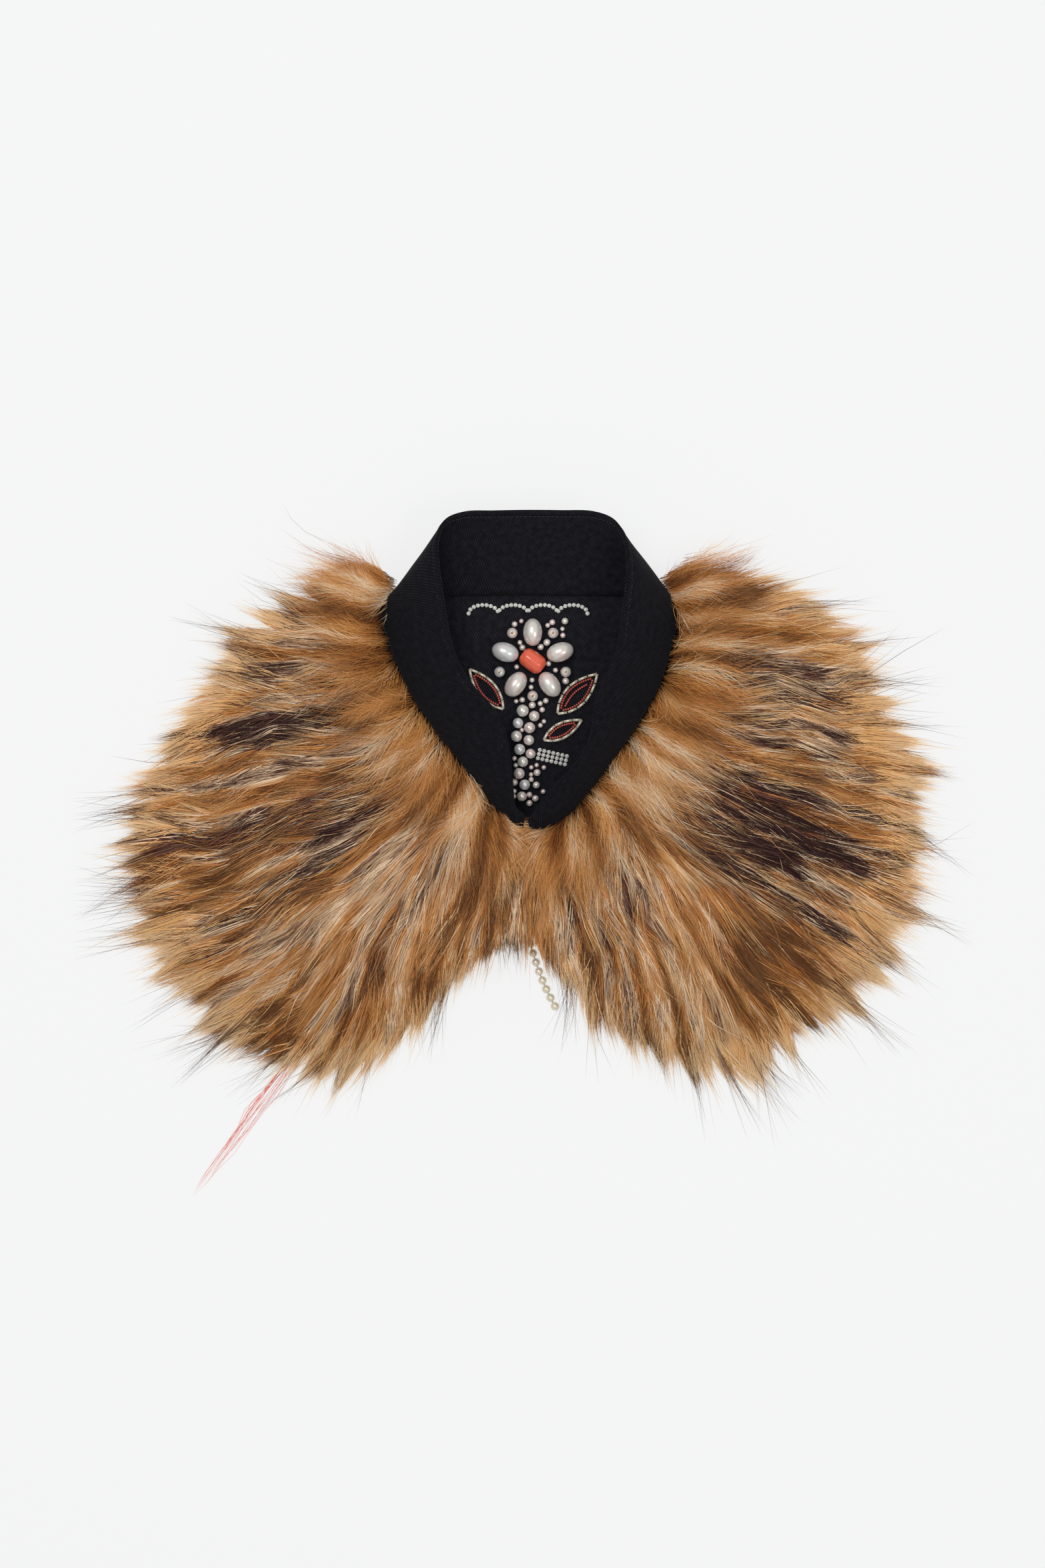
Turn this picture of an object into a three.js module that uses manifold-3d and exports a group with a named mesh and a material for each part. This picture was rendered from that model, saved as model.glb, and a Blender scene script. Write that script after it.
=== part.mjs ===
// A fur collar stole laid flat on its back with the front closed: two long-pile fur fronts over a fur back,
// a black twill stand that folds over at the sides, and a beaded black twill lining seen through the neck.
// Millimetres. X runs to the right and Y towards the nape as seen from above, and Z is up from the table.
// The origin is on the underside of the back, under the middle of the neck opening.
import * as THREE from "three";
import Module from "manifold-3d";
import { mergeVertices } from "three/addons/utils/BufferGeometryUtils.js";

const wasm = await Module();
wasm.setup();

// Driving dimensions
const seamGap = 0.3; // clearance between pieces that touch
const twillPly = 1.3; // one interfaced ply of the stand
const backPile = 14; // back fur, skin and crushed pile together
const backRim = 6; // back fur at its thin rim
const backStations = 84;
const backJag = 3.5; // depth of the back rim's small points
const backRings = [
  { inset: 35, high: backPile, low: 0 },
  { inset: 10, high: backPile, low: 0 },
  { inset: 2.5, high: backPile - 3, low: 0 },
  { inset: 0, high: backRim, low: 1.6 },
];
const liningPly = 1.5;
const liningInset = 14; // lining hem inside the fur back's rim
const liningAtSeam = 0.8; // the lining stops this far from the neck seam
const liningStations = 72;
const lapClearance = 0.6; // air between the layers that lie on each other
const frontGap = 0.25; // each fur front stops this far from the centre line
const neckSeamY = 50; // back neck seam, where the stand is sewn on
const standBulge = 2.2; // how far the stand swells out between its edges
const facingDrop = 17.4; // height at which the stand's inner ply ends on the lining
const facingLeast = 0.9; // the facing's least height below the seam
const footAir = 0.9; // air between the stand and the foot of the pile
const locksPerFront = 26; // pointed locks along the rim of each front
const rowsPerLock = 4;
const tipReach = 9; // a lock's tip beyond the mean outline
const notchDepth = 9; // a notch inside the mean outline
const lockWidths = [1, 0.7, 1.3, 0.85, 1.15, 0.6, 1.25]; // of neighbouring locks, taken round and round
const lockReaches = [0, 5, -4, 3, -6, 4, 1, -2, 6, -3, 2]; // reach of each lock beyond or short of the others
const lockLeans = [0, -0.25, 0.25, 0, 0.25]; // of a lock's tip from its middle, as a share of the lock
const lastAngle = 127; // where a front ends beside the stand, in degrees from the centre front
const overhang = 20; // radial run over which a front's underside comes down to the table past the back
const rimRun = 20; // run over which the underside lifts to the rim
const rimLift = 3;
const leastPile = 2.4; // least thickness of a front
const leastWidth = 9; // least radial width of a front
const pointerShift = 1; // extra room at the stand's point
const floorGap = 0.3;

const liningTop = backPile + seamGap + liningPly;
const frontFloor = liningTop + lapClearance;

// The outline of each front: mean reach of the pile from the origin, by angle from the centre front.
const reach = [
  { angle: 0, left: 194, right: 194 },
  { angle: 6, left: 203, right: 202 },
  { angle: 12, left: 206, right: 229 },
  { angle: 18, left: 250, right: 268 },
  { angle: 24, left: 288, right: 284 },
  { angle: 36, left: 309, right: 303 },
  { angle: 48, left: 307, right: 300 },
  { angle: 60, left: 301, right: 296 },
  { angle: 66, left: 289, right: 284 },
  { angle: 72, left: 264, right: 268 },
  { angle: 78, left: 236, right: 257 },
  { angle: 84, left: 218, right: 240 },
  { angle: 96, left: 191, right: 212 },
  { angle: 108, left: 166, right: 184 },
  { angle: 114, left: 153, right: 166 },
  { angle: 120, left: 138, right: 138 },
  { angle: 127, left: 118, right: 118 },
];

// The hidden back is smaller all round and the same on both sides.
const backReach = [
  { angle: 0, reach: 155 },
  { angle: 12, reach: 160 },
  { angle: 24, reach: 194 },
  { angle: 40, reach: 236 },
  { angle: 54, reach: 250 },
  { angle: 66, reach: 238 },
  { angle: 78, reach: 200 },
  { angle: 90, reach: 172 },
  { angle: 102, reach: 148 },
  { angle: 112, reach: 124 },
  { angle: 120, reach: 102 },
];

// Height of the pile from the stand (share 0) to the rim (share 1), and how deep it dips between two locks.
const pile = [
  { share: 0, height: 31, valley: 0 },
  { share: 0.07, height: 40, valley: 1 },
  { share: 0.18, height: 48, valley: 2.5 },
  { share: 0.34, height: 51, valley: 4 },
  { share: 0.52, height: 47, valley: 5 },
  { share: 0.69, height: 39, valley: 6 },
  { share: 0.83, height: 28, valley: 6 },
  { share: 0.93, height: 17, valley: 4 },
  { share: 1, height: 9, valley: 1.5 },
];
const fullPileWidth = 70; // a front narrower than this has its pile scaled down

// The stand by sections, from the front end round to the middle of the nape.
// base is the sewn edge and top the free edge.
const standLeft = [
  { base: [-1.2, -102, 25], top: [-1.2, -92.5, 35] },
  { base: [-9, -96, 26.5], top: [-7.6, -87, 40] },
  { base: [-18.5, -86.5, 28], top: [-9.2, -77, 45] },
  { base: [-32, -69.5, 29.5], top: [-10.3, -62, 50.5] },
  { base: [-46, -51.5, 30.5], top: [-13, -43.5, 54.5] },
  { base: [-58.5, -35.5, 31], top: [-19.5, -26.5, 57.5] },
  { base: [-70.5, -18, 31], top: [-33.5, -10.5, 59.5] },
  { base: [-80.5, 1, 30], top: [-43.5, 5, 60.5] },
  { base: [-88.5, 21, 28], top: [-49.5, 23, 60.5] },
  { base: [-93, 37, 24.5], top: [-53.5, 47, 59] },
  { base: [-91.5, 46.5, 20], top: [-56.5, 68, 55] },
  { base: [-83, 51, 17.6], top: [-57, 84, 49] },
  { base: [-70, 51.4, 17.3], top: [-51.5, 97.5, 42.5] },
  { base: [-50, 51.4, 17.3], top: [-40, 102.6, 38.5] },
  { base: [-25, 51.6, 17.3], top: [-21, 103.4, 37] },
];
const nape = { base: [0, 51.8, 17.3], top: [0, 103.8, 36.5] };
const standRight = [
  { base: [1.2, -102, 25], top: [1.2, -95, 34] },
  { base: [12.5, -99.5, 26], top: [6.8, -88.5, 39] },
  { base: [25, -92, 27], top: [14, -77.5, 43.5] },
  { base: [40.5, -74.5, 28.5], top: [24.5, -67.5, 47.5] },
  { base: [54, -56, 29.5], top: [34.8, -55, 51] },
  { base: [66.5, -39, 30.5], top: [41.6, -41, 54.5] },
  { base: [77, -22.5, 31], top: [44, -25, 57.5] },
  { base: [85.5, -6, 30.5], top: [48.5, -9, 59.5] },
  { base: [92, 14, 28.5], top: [57, 9, 60.5] },
  { base: [97, 36, 24.5], top: [61.8, 38, 59] },
  { base: [95.5, 46.5, 20], top: [64.8, 66, 55] },
  { base: [86, 51, 17.6], top: [63, 84, 49] },
  { base: [72, 51.4, 17.3], top: [55.5, 97.5, 42.5] },
  { base: [52, 51.4, 17.3], top: [43, 102.8, 38.5] },
  { base: [26, 51.6, 17.3], top: [22, 103.6, 37] },
];
const standStations = 72;
const standRows = 5;

// Beads sewn to the lining: a flower of oval pearls round a coral bead, and a trail of round pearls.
const flower = { x: 4, y: 8, petals: 5, ring: 18.6, bud: 22.5, turn: 18 };
const petal = { long: 18, wide: 12.5 };
const coral = { long: 17, wide: 13.5, turn: 54, facets: 8 };
const bud = { long: 7, wide: 7 };
const trail = [
  { x: -2.5, y: -24, size: 8 },
  { x: 5, y: -27.5, size: 7 },
  { x: -5.5, y: -32, size: 7 },
  { x: 2, y: -35, size: 7.4 },
  { x: -6.5, y: -40.5, size: 7.4 },
  { x: 1.5, y: -43, size: 7 },
  { x: -4.5, y: -49, size: 7.4 },
  { x: 2.6, y: -51.8, size: 6.6 },
  { x: -2.4, y: -57, size: 7 },
  { x: -4.8, y: -64.6, size: 7.4 },
  { x: -1.2, y: -71.8, size: 7 },
  { x: -3, y: -79.4, size: 6.6 },
];
const pearlSides = 10;
const pearlRings = 6;

// A strand of small pearls that hangs from the lining's hem and lies on the table.
const strandPearl = 5.7;
const strandPitch = 6;
const strandThread = 1.1;
const strandPath = [
  [1, -163],
  [3, -176],
  [7, -190],
  [12.5, -204],
  [18.5, -216],
];

// Room that the underside of a front leaves over the strand.
const strandRoom = { left: -14, right: 34, below: -150, height: strandPearl + 2.2 };

// A tassel of loose red threads that comes out from under the left front.
const tasselHead = { x: -137, y: -232, size: 5 };
const tasselTurn = 233; // degrees, the way the threads lie
const threadSize = 0.9;
const threadBulge = 11; // width of the bundle where the threads loop apart
const bulgeAt = 0.45; // share of a thread's length at which it is widest
const threadFan = 5.4; // width of the bundle at the ends
const threadLengths = [104, 128, 112, 137, 118, 140, 108, 122, 98];
const tasselRoom = { behind: 45, half: 24, spread: 0.12, height: tasselHead.size + 1.6 };

const radians = (degrees) => (degrees * Math.PI) / 180;

// Value of a column at a key, by straight lines between the rows of a table.
function between(rows, key, at, column) {
  const last = rows.length - 1;
  if (at <= rows[0][key]) return rows[0][column];
  if (at >= rows[last][key]) return rows[last][column];
  const next = rows.findIndex((row) => row[key] >= at);
  const low = rows[next - 1];
  const high = rows[next];
  const share = (at - low[key]) / (high[key] - low[key]);
  return low[column] + share * (high[column] - low[column]);
}

// A point at an angle from the centre front, on the left (side -1) or the right (side 1).
function spoke(side, angle, radius, height) {
  const turn = radians(angle);
  return new THREE.Vector3(side * radius * Math.sin(turn), -radius * Math.cos(turn), height);
}

// How far the back fur reaches at an angle from the centre front: its table, then the straight neck seam.
function backAt(angle) {
  const above = -Math.cos(radians(angle));
  const tabled = between(backReach, "angle", angle, "reach");
  const pastTable = angle > backReach[backReach.length - 1].angle;
  if (above <= 0.05) return tabled;
  return pastTable ? neckSeamY / above : Math.min(tabled, neckSeamY / above);
}

// A closed wall between two grids of points, top[i][j] and under[i][j].
function wall(top, under) {
  const columns = top.length;
  const rows = top[0].length;
  const positions = [...top, ...under].flat().flatMap((point) => point.toArray());
  const topAt = (i, j) => i * rows + j;
  const underAt = (i, j) => (columns + i) * rows + j;
  const faces = [];
  const quad = (a, b, c, d) => faces.push(a, b, c, a, c, d);
  for (let i = 0; i < columns - 1; i++) {
    for (let j = 0; j < rows - 1; j++) {
      quad(topAt(i, j), topAt(i + 1, j), topAt(i + 1, j + 1), topAt(i, j + 1));
      quad(underAt(i, j), underAt(i, j + 1), underAt(i + 1, j + 1), underAt(i + 1, j));
    }
    quad(topAt(i + 1, 0), topAt(i, 0), underAt(i, 0), underAt(i + 1, 0));
    const j = rows - 1;
    quad(topAt(i, j), topAt(i + 1, j), underAt(i + 1, j), underAt(i, j));
  }
  for (let j = 0; j < rows - 1; j++) {
    quad(topAt(0, j), topAt(0, j + 1), underAt(0, j + 1), underAt(0, j));
    const i = columns - 1;
    quad(topAt(i, j + 1), topAt(i, j), underAt(i, j), underAt(i, j + 1));
  }
  return facingOut(positions, faces);
}

// A closed disc between rings of points round a middle, from the middle outwards.
function disc(topRings, underRings, topMiddle, underMiddle) {
  const count = topRings[0].length;
  const rings = topRings.length;
  const positions = [...topRings, ...underRings].flat().flatMap((point) => point.toArray());
  positions.push(...topMiddle.toArray(), ...underMiddle.toArray());
  const topAt = (k, i) => k * count + (i % count);
  const underAt = (k, i) => (rings + k) * count + (i % count);
  const topCentre = 2 * rings * count;
  const faces = [];
  for (let i = 0; i < count; i++) {
    faces.push(topCentre, topAt(0, i), topAt(0, i + 1));
    faces.push(topCentre + 1, underAt(0, i + 1), underAt(0, i));
    for (let k = 0; k < rings - 1; k++) {
      faces.push(topAt(k, i), topAt(k + 1, i), topAt(k + 1, i + 1));
      faces.push(topAt(k, i), topAt(k + 1, i + 1), topAt(k, i + 1));
      faces.push(underAt(k, i), underAt(k + 1, i + 1), underAt(k + 1, i));
      faces.push(underAt(k, i), underAt(k, i + 1), underAt(k + 1, i + 1));
    }
    const k = rings - 1;
    faces.push(topAt(k, i), underAt(k, i), underAt(k, i + 1));
    faces.push(topAt(k, i), underAt(k, i + 1), topAt(k, i + 1));
  }
  return facingOut(positions, faces);
}

// Geometry of a closed mesh, turned round if its faces point inwards.
function facingOut(positions, faces) {
  let volume = 0;
  const corner = (n) => new THREE.Vector3().fromArray(positions, faces[n] * 3);
  for (let n = 0; n < faces.length; n += 3) {
    volume += corner(n).dot(corner(n + 1).cross(corner(n + 2)));
  }
  if (volume < 0) faces.reverse();
  const geometry = new THREE.BufferGeometry();
  geometry.setAttribute("position", new THREE.Float32BufferAttribute(positions, 3));
  geometry.setIndex(faces);
  geometry.computeVertexNormals();
  return geometry;
}

// Joins closed geometries into one solid.
function fused(geometries) {
  const solids = geometries.map((geometry) => {
    const bare = geometry.clone();
    bare.deleteAttribute("normal");
    bare.deleteAttribute("uv");
    const merged = mergeVertices(bare, 1e-4);
    return new wasm.Manifold(
      new wasm.Mesh({
        numProp: 3,
        vertProperties: new Float32Array(merged.attributes.position.array),
        triVerts: new Uint32Array(merged.index.array),
      }),
    );
  });
  const mesh = solids.reduce((whole, solid) => whole.add(solid)).getMesh();
  const geometry = new THREE.BufferGeometry();
  geometry.setAttribute("position", new THREE.Float32BufferAttribute(mesh.vertProperties, 3));
  geometry.setIndex(Array.from(mesh.triVerts));
  geometry.computeVertexNormals();
  return geometry;
}

// The stand: a row of points up its middle surface at each station, from the left front end to the right one.
const standRowsAll = [...standLeft, nape, ...[...standRight].reverse()];
const curveOf = (edge) =>
  new THREE.CatmullRomCurve3(standRowsAll.map((row) => new THREE.Vector3(...row[edge])));
const baseCurve = curveOf("base");
const topCurve = curveOf("top");

const middleAt = (along) => {
  const share = THREE.MathUtils.clamp(along, 0, 1);
  return baseCurve.getPoint(share).add(topCurve.getPoint(share));
};

function standMiddle() {
  const inside = new THREE.Vector3(0, -10, 0);
  const step = 1 / standStations;
  const grid = [];
  for (let i = 0; i <= standStations; i++) {
    const along = i / standStations;
    const base = baseCurve.getPoint(along);
    const top = topCurve.getPoint(along);
    const ahead = middleAt(along + step).sub(middleAt(along - step));
    const out = ahead.cross(top.clone().sub(base)).normalize();
    if (out.dot(base.clone().sub(inside).setZ(0)) < 0) out.negate();
    const column = [];
    for (let j = 0; j <= standRows; j++) {
      const up = j / standRows;
      const swell = standBulge * 4 * up * (1 - up);
      column.push({ point: base.clone().lerp(top, up).addScaledVector(out, swell), out });
    }
    grid.push(column);
  }
  return grid;
}

const standGrid = standMiddle();
const shifted = (grid, offset) =>
  grid.map((column) => column.map(({ point, out }) => point.clone().addScaledVector(out, offset)));

// The inner ply carries on below the seam as a facing, down to the lining.
function withFacing(grid) {
  return grid.map((column) => {
    const { point, out } = column[0];
    const hem = point.clone();
    hem.z = Math.min(facingDrop, point.z - facingLeast);
    return [{ point: hem, out: out.clone().setZ(0).normalize() }, ...column];
  });
}

function standOuter() {
  return wall(shifted(standGrid, seamGap / 2 + twillPly), shifted(standGrid, seamGap / 2));
}

function standInner() {
  const faced = withFacing(standGrid);
  return wall(shifted(faced, -seamGap / 2), shifted(faced, -seamGap / 2 - twillPly));
}

// How far the stand reaches at an angle from the centre front, over its whole height.
function standAt(side, angle) {
  const window = 4; // degrees
  let widest = 0;
  for (const column of standGrid) {
    for (const { point } of column) {
      const turn = THREE.MathUtils.radToDeg(Math.atan2(side * point.x, -point.y));
      if (Math.abs(turn - angle) < window) widest = Math.max(widest, Math.hypot(point.x, point.y));
    }
  }
  return widest + twillPly + seamGap + footAir;
}

// Height that the underside of a front must leave free over the strand and the tassel.
function freeHeight(x, y) {
  const nearStrand = y < strandRoom.below && x > strandRoom.left && x < strandRoom.right;
  const way = new THREE.Vector2(Math.cos(radians(tasselTurn)), Math.sin(radians(tasselTurn)));
  const from = new THREE.Vector2(x - tasselHead.x, y - tasselHead.y);
  const along = from.dot(way);
  const aside = Math.abs(from.cross(way));
  const room = tasselRoom.half + tasselRoom.spread * Math.max(0, along);
  const nearTassel = along > -tasselRoom.behind && aside < room;
  return Math.max(nearStrand ? strandRoom.height : 0, nearTassel ? tasselRoom.height : 0);
}

const pick = (list, n) => list[((n % list.length) + list.length) % list.length];

// Angle at which each lock starts, from the centre front to the end beside the stand.
function lockStarts(side) {
  const first = side < 0 ? 0 : 3;
  const starts = [0];
  for (let lock = 0; lock < locksPerFront; lock++) starts.push(starts[lock] + pick(lockWidths, first + lock));
  return starts.map((start) => (start * lastAngle) / starts[locksPerFront]);
}

// One fur front: spokes from the stand's foot to the rim, with a pointed lock every few spokes.
function furFront(side) {
  const column = side < 0 ? "left" : "right";
  const spokes = locksPerFront * rowsPerLock;
  const starts = lockStarts(side);
  const top = [];
  const under = [];
  for (let i = 0; i <= spokes; i++) {
    const lock = Math.min(Math.floor(i / rowsPerLock), locksPerFront);
    const place = (i % rowsPerLock) / rowsPerLock; // 0 at the notch between two locks
    const tip = 0.5 + pick(lockLeans, lock + side);
    const crest = place < tip ? place / tip : (1 - place) / (1 - tip);
    const next = starts[Math.min(lock + 1, locksPerFront)];
    const angle = starts[lock] + place * (next - starts[lock]);
    const inner = standAt(side, angle) + (angle < 4 ? pointerShift : 0);
    const uneven = pick(lockReaches, lock + 4 * side);
    const mean = between(reach, "angle", angle, column);
    const pointed = mean + crest * (tipReach + notchDepth + uneven) - notchDepth;
    const outer = Math.max(inner + leastWidth, pointed);
    const width = outer - inner;
    const fullness = Math.min(1, width / fullPileWidth);
    const back = backAt(angle);
    const undersideAt = (radius) => {
      const past = Math.max(0, radius - back - 3);
      const laid = Math.max(0, frontFloor * (1 - past / overhang));
      const lifted = Math.max(0, (radius - outer + rimRun) / rimRun) * rimLift;
      const at = spoke(side, angle, radius, 0);
      return Math.max(laid, lifted, freeHeight(at.x, at.y));
    };
    const pastBack = [3, 12, 23, 30].map((step) => back + step);
    const radii = [inner, (inner + back) / 2, ...pastBack, outer - rimRun, outer - 8, outer];
    radii.sort((a, b) => a - b);
    const topColumn = [];
    const underColumn = [];
    pile.forEach(({ share, height, valley }, j) => {
      const radius = inner + share * width;
      const middleTier = share > 0.25 && share < 0.6;
      const swapped = middleTier ? crest : 1 - crest; // locks of the middle tier lie between the others
      const raised = frontFloor + (height - frontFloor) * fullness - valley * swapped * fullness;
      const spare = 0.4 * (pile.length - 1 - j);
      const below = Math.min(Math.max(radii[j], inner + 0.4 * j), outer - spare);
      const floor = undersideAt(below);
      underColumn.push(spoke(side, angle, below, floor));
      topColumn.push(spoke(side, angle, radius, Math.max(raised, undersideAt(radius) + leastPile)));
    });
    for (const point of [...topColumn, ...underColumn]) point.x += side * frontGap;
    top.push(topColumn);
    under.push(underColumn);
  }
  return wall(top, under);
}

// Angles round the back, measured from the centre front on both sides.
function roundTheBack(visit, stations) {
  const ring = [];
  for (let i = 0; i < stations; i++) {
    const turn = (360 * i) / stations;
    const side = turn <= 180 ? 1 : -1;
    ring.push(visit(side, turn <= 180 ? turn : 360 - turn, i));
  }
  return ring;
}

function furBack() {
  const pointsTo = 118; // past this angle the rim is the straight neck seam
  const ringAt = (inset, height) =>
    roundTheBack((side, angle, i) => {
      const jagged = angle < pointsTo && inset < 6 && i % 2 === 1;
      return spoke(side, angle, backAt(angle) - inset - (jagged ? backJag : 0), height);
    }, backStations);
  return disc(
    backRings.map(({ inset, high }) => ringAt(inset, high)),
    backRings.map(({ inset, low }) => ringAt(inset, low)),
    new THREE.Vector3(0, 0, backPile),
    new THREE.Vector3(0, 0, 0),
  );
}

function liningBack() {
  const hemTo = 118; // past this angle the lining follows the neck seam
  const ringAt = (share, height) =>
    roundTheBack((side, angle) => {
      const inset = angle > hemTo ? liningAtSeam : liningInset;
      return spoke(side, angle, (backAt(angle) - inset) * share, height);
    }, liningStations);
  const low = backPile + seamGap;
  return disc(
    [ringAt(0.5, liningTop), ringAt(1, liningTop)],
    [ringAt(0.5, low), ringAt(1, low)],
    new THREE.Vector3(0, 0, liningTop),
    new THREE.Vector3(0, 0, low),
  );
}

// A round or oval bead, long in X, lying on the lining.
function bead(long, wide) {
  const ball = new THREE.SphereGeometry(wide / 2, pearlSides, pearlRings);
  return ball.rotateX(Math.PI / 2).scale(long / wide, 1, 1);
}

// The coral bead is a faceted barrel with flattened ends.
function coralBead() {
  const half = coral.long / 2;
  const wide = coral.wide / 2;
  const profile = [
    [0, -half],
    [0.55 * wide, -half],
    [0.88 * wide, -0.72 * half],
    [wide, -0.25 * half],
    [wide, 0.25 * half],
    [0.88 * wide, 0.72 * half],
    [0.55 * wide, half],
    [0, half],
  ].map(([x, y]) => new THREE.Vector2(x, y));
  return new THREE.LatheGeometry(profile, coral.facets, Math.PI / coral.facets);
}

function pearlStrand() {
  const curve = new THREE.CatmullRomCurve3(
    strandPath.map(([x, y]) => new THREE.Vector3(x, y, strandPearl / 2 + floorGap)),
  );
  const count = Math.floor(curve.getLength() / strandPitch) + 1;
  const places = curve.getSpacedPoints(count - 1);
  const pearls = places.map((place) =>
    new THREE.SphereGeometry(strandPearl / 2, 8, 6).translate(place.x, place.y, place.z),
  );
  const half = strandThread / 2;
  const threads = places.slice(1).map((place, i) => rod(places[i], place, half, half, 6));
  return fused([...pearls, ...threads]);
}

// A straight rod between two points, thinner at its far end if asked.
function rod(from, to, nearRadius, farRadius, sides) {
  const way = to.clone().sub(from);
  const upright = new THREE.Vector3(0, 1, 0);
  const geometry = new THREE.CylinderGeometry(farRadius, nearRadius, way.length(), sides);
  geometry.translate(0, way.length() / 2, 0);
  geometry.applyQuaternion(new THREE.Quaternion().setFromUnitVectors(upright, way.normalize()));
  return geometry.translate(from.x, from.y, from.z);
}

function threadTassel() {
  const lift = tasselHead.size / 2 + floorGap;
  const head = new THREE.Vector3(tasselHead.x, tasselHead.y, lift);
  const knot = new THREE.SphereGeometry(tasselHead.size / 2, 10, 8).translate(head.x, head.y, head.z);
  const turn = radians(tasselTurn);
  const laid = (along, aside, height) =>
    new THREE.Vector3(
      head.x + along * Math.cos(turn) - aside * Math.sin(turn),
      head.y + along * Math.sin(turn) + aside * Math.cos(turn),
      height,
    );
  const half = threadSize / 2;
  const threads = threadLengths.flatMap((length, k) => {
    const place = k / (threadLengths.length - 1) - 0.5;
    const start = laid(0, 0, lift - 0.8);
    const middle = laid(length * bulgeAt, place * threadBulge, floorGap + threadSize);
    const end = laid(length, place * threadFan, floorGap + threadSize);
    const bend = middle.clone().lerp(start, threadSize / middle.distanceTo(start));
    return [rod(start, middle, half, half, 4), rod(bend, end, half, threadSize / 3, 4)];
  });
  return fused([knot, ...threads]);
}

const matter = (color, roughness) => new THREE.MeshStandardMaterial({ color, roughness, metalness: 0 });
const furMaterial = matter(0xb07a3c, 0.85);
const backFurMaterial = matter(0x9a6a35, 0.9);
const twillMaterial = matter(0x15151a, 0.82);
const liningMaterial = matter(0x17171c, 0.85);
const pearlMaterial = matter(0xe6e0d6, 0.25);
const coralMaterial = matter(0xf0644a, 0.35);
const threadMaterial = matter(0xe0635a, 0.7);

const collar = new THREE.Group();

function piece(name, geometry, material, x = 0, y = 0, z = 0, turn = 0) {
  const mesh = new THREE.Mesh(geometry, material);
  mesh.name = name;
  mesh.position.set(x, y, z);
  mesh.rotation.z = turn;
  collar.add(mesh);
  return mesh;
}

piece("fur_back", furBack(), backFurMaterial);
piece("lining_back", liningBack(), liningMaterial);
piece("fur_front_left", furFront(-1), furMaterial);
piece("fur_front_right", furFront(1), furMaterial);
piece("stand_outer", standOuter(), twillMaterial);
piece("stand_inner", standInner(), twillMaterial);

// A bead of the flower, at a turn round its middle.
function flowerBead(name, size, ring, turn) {
  const x = flower.x + ring * Math.cos(turn);
  const y = flower.y + ring * Math.sin(turn);
  piece(name, bead(size.long, size.wide), pearlMaterial, x, y, beadFloor + size.wide / 2, turn);
}

const beadFloor = liningTop + seamGap;
for (let k = 0; k < flower.petals; k++) {
  const turn = radians(flower.turn + (360 / flower.petals) * k);
  flowerBead(`pearl_petal_${k + 1}`, petal, flower.ring, turn);
  flowerBead(`pearl_bud_${k + 1}`, bud, flower.bud, turn + Math.PI / flower.petals);
}
const coralHeight = beadFloor + coral.wide / 2;
piece("coral_bead", coralBead(), coralMaterial, flower.x, flower.y, coralHeight, radians(coral.turn));
trail.forEach(({ x, y, size }, k) => {
  piece(`pearl_trail_${k + 1}`, bead(size, size), pearlMaterial, x, y, beadFloor + size / 2);
});

piece("pearl_strand", pearlStrand(), pearlMaterial);
piece("thread_tassel", threadTassel(), threadMaterial);

export default collar;
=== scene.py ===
# A fur collar stole laid flat on a pale floor and seen from straight above.
# Sizes are in millimetres until a mesh is made, and in metres from there on.
import math

import bpy
import numpy as np
from bpy.props import FloatProperty, FloatVectorProperty, IntProperty, PointerProperty
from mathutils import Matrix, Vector
from mathutils.bvhtree import BVHTree


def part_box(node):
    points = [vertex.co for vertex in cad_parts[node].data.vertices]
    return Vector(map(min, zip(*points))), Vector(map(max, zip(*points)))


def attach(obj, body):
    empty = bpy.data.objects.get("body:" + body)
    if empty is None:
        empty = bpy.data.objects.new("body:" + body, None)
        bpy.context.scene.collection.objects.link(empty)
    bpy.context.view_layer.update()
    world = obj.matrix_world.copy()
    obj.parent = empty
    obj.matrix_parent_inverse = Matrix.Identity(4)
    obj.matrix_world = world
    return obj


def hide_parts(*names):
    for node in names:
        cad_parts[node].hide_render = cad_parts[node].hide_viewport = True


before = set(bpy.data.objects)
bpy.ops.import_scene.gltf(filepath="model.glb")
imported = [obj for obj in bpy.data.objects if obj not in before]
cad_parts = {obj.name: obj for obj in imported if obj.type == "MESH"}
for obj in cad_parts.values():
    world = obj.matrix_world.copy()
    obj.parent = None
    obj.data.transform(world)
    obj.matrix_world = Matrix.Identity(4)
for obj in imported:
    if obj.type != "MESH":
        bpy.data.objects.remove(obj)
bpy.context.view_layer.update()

bl_info = {
    "name": "Fur collar stole",
    "version": (1, 0, 0),
    "blender": (4, 5, 0),
    "location": "View3D > Sidebar > Stole",
    "description": "Builds a long-pile fur collar stole with a twill stand and a beaded lining",
    "category": "Add Mesh",
}

MM = 0.001
BODY = "root"
SIDES = {"left": -1, "right": 1}
FRONTS = {"left": "fur_front_left", "right": "fur_front_right"}


def srgb(red, green, blue):
    """A colour as seen on a screen, from 0 to 1, turned into the linear colour that shaders use."""
    return tuple(
        value / 12.92 if value <= 0.04045 else ((value + 0.055) / 1.055) ** 2.4
        for value in (red, green, blue)
    )


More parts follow.
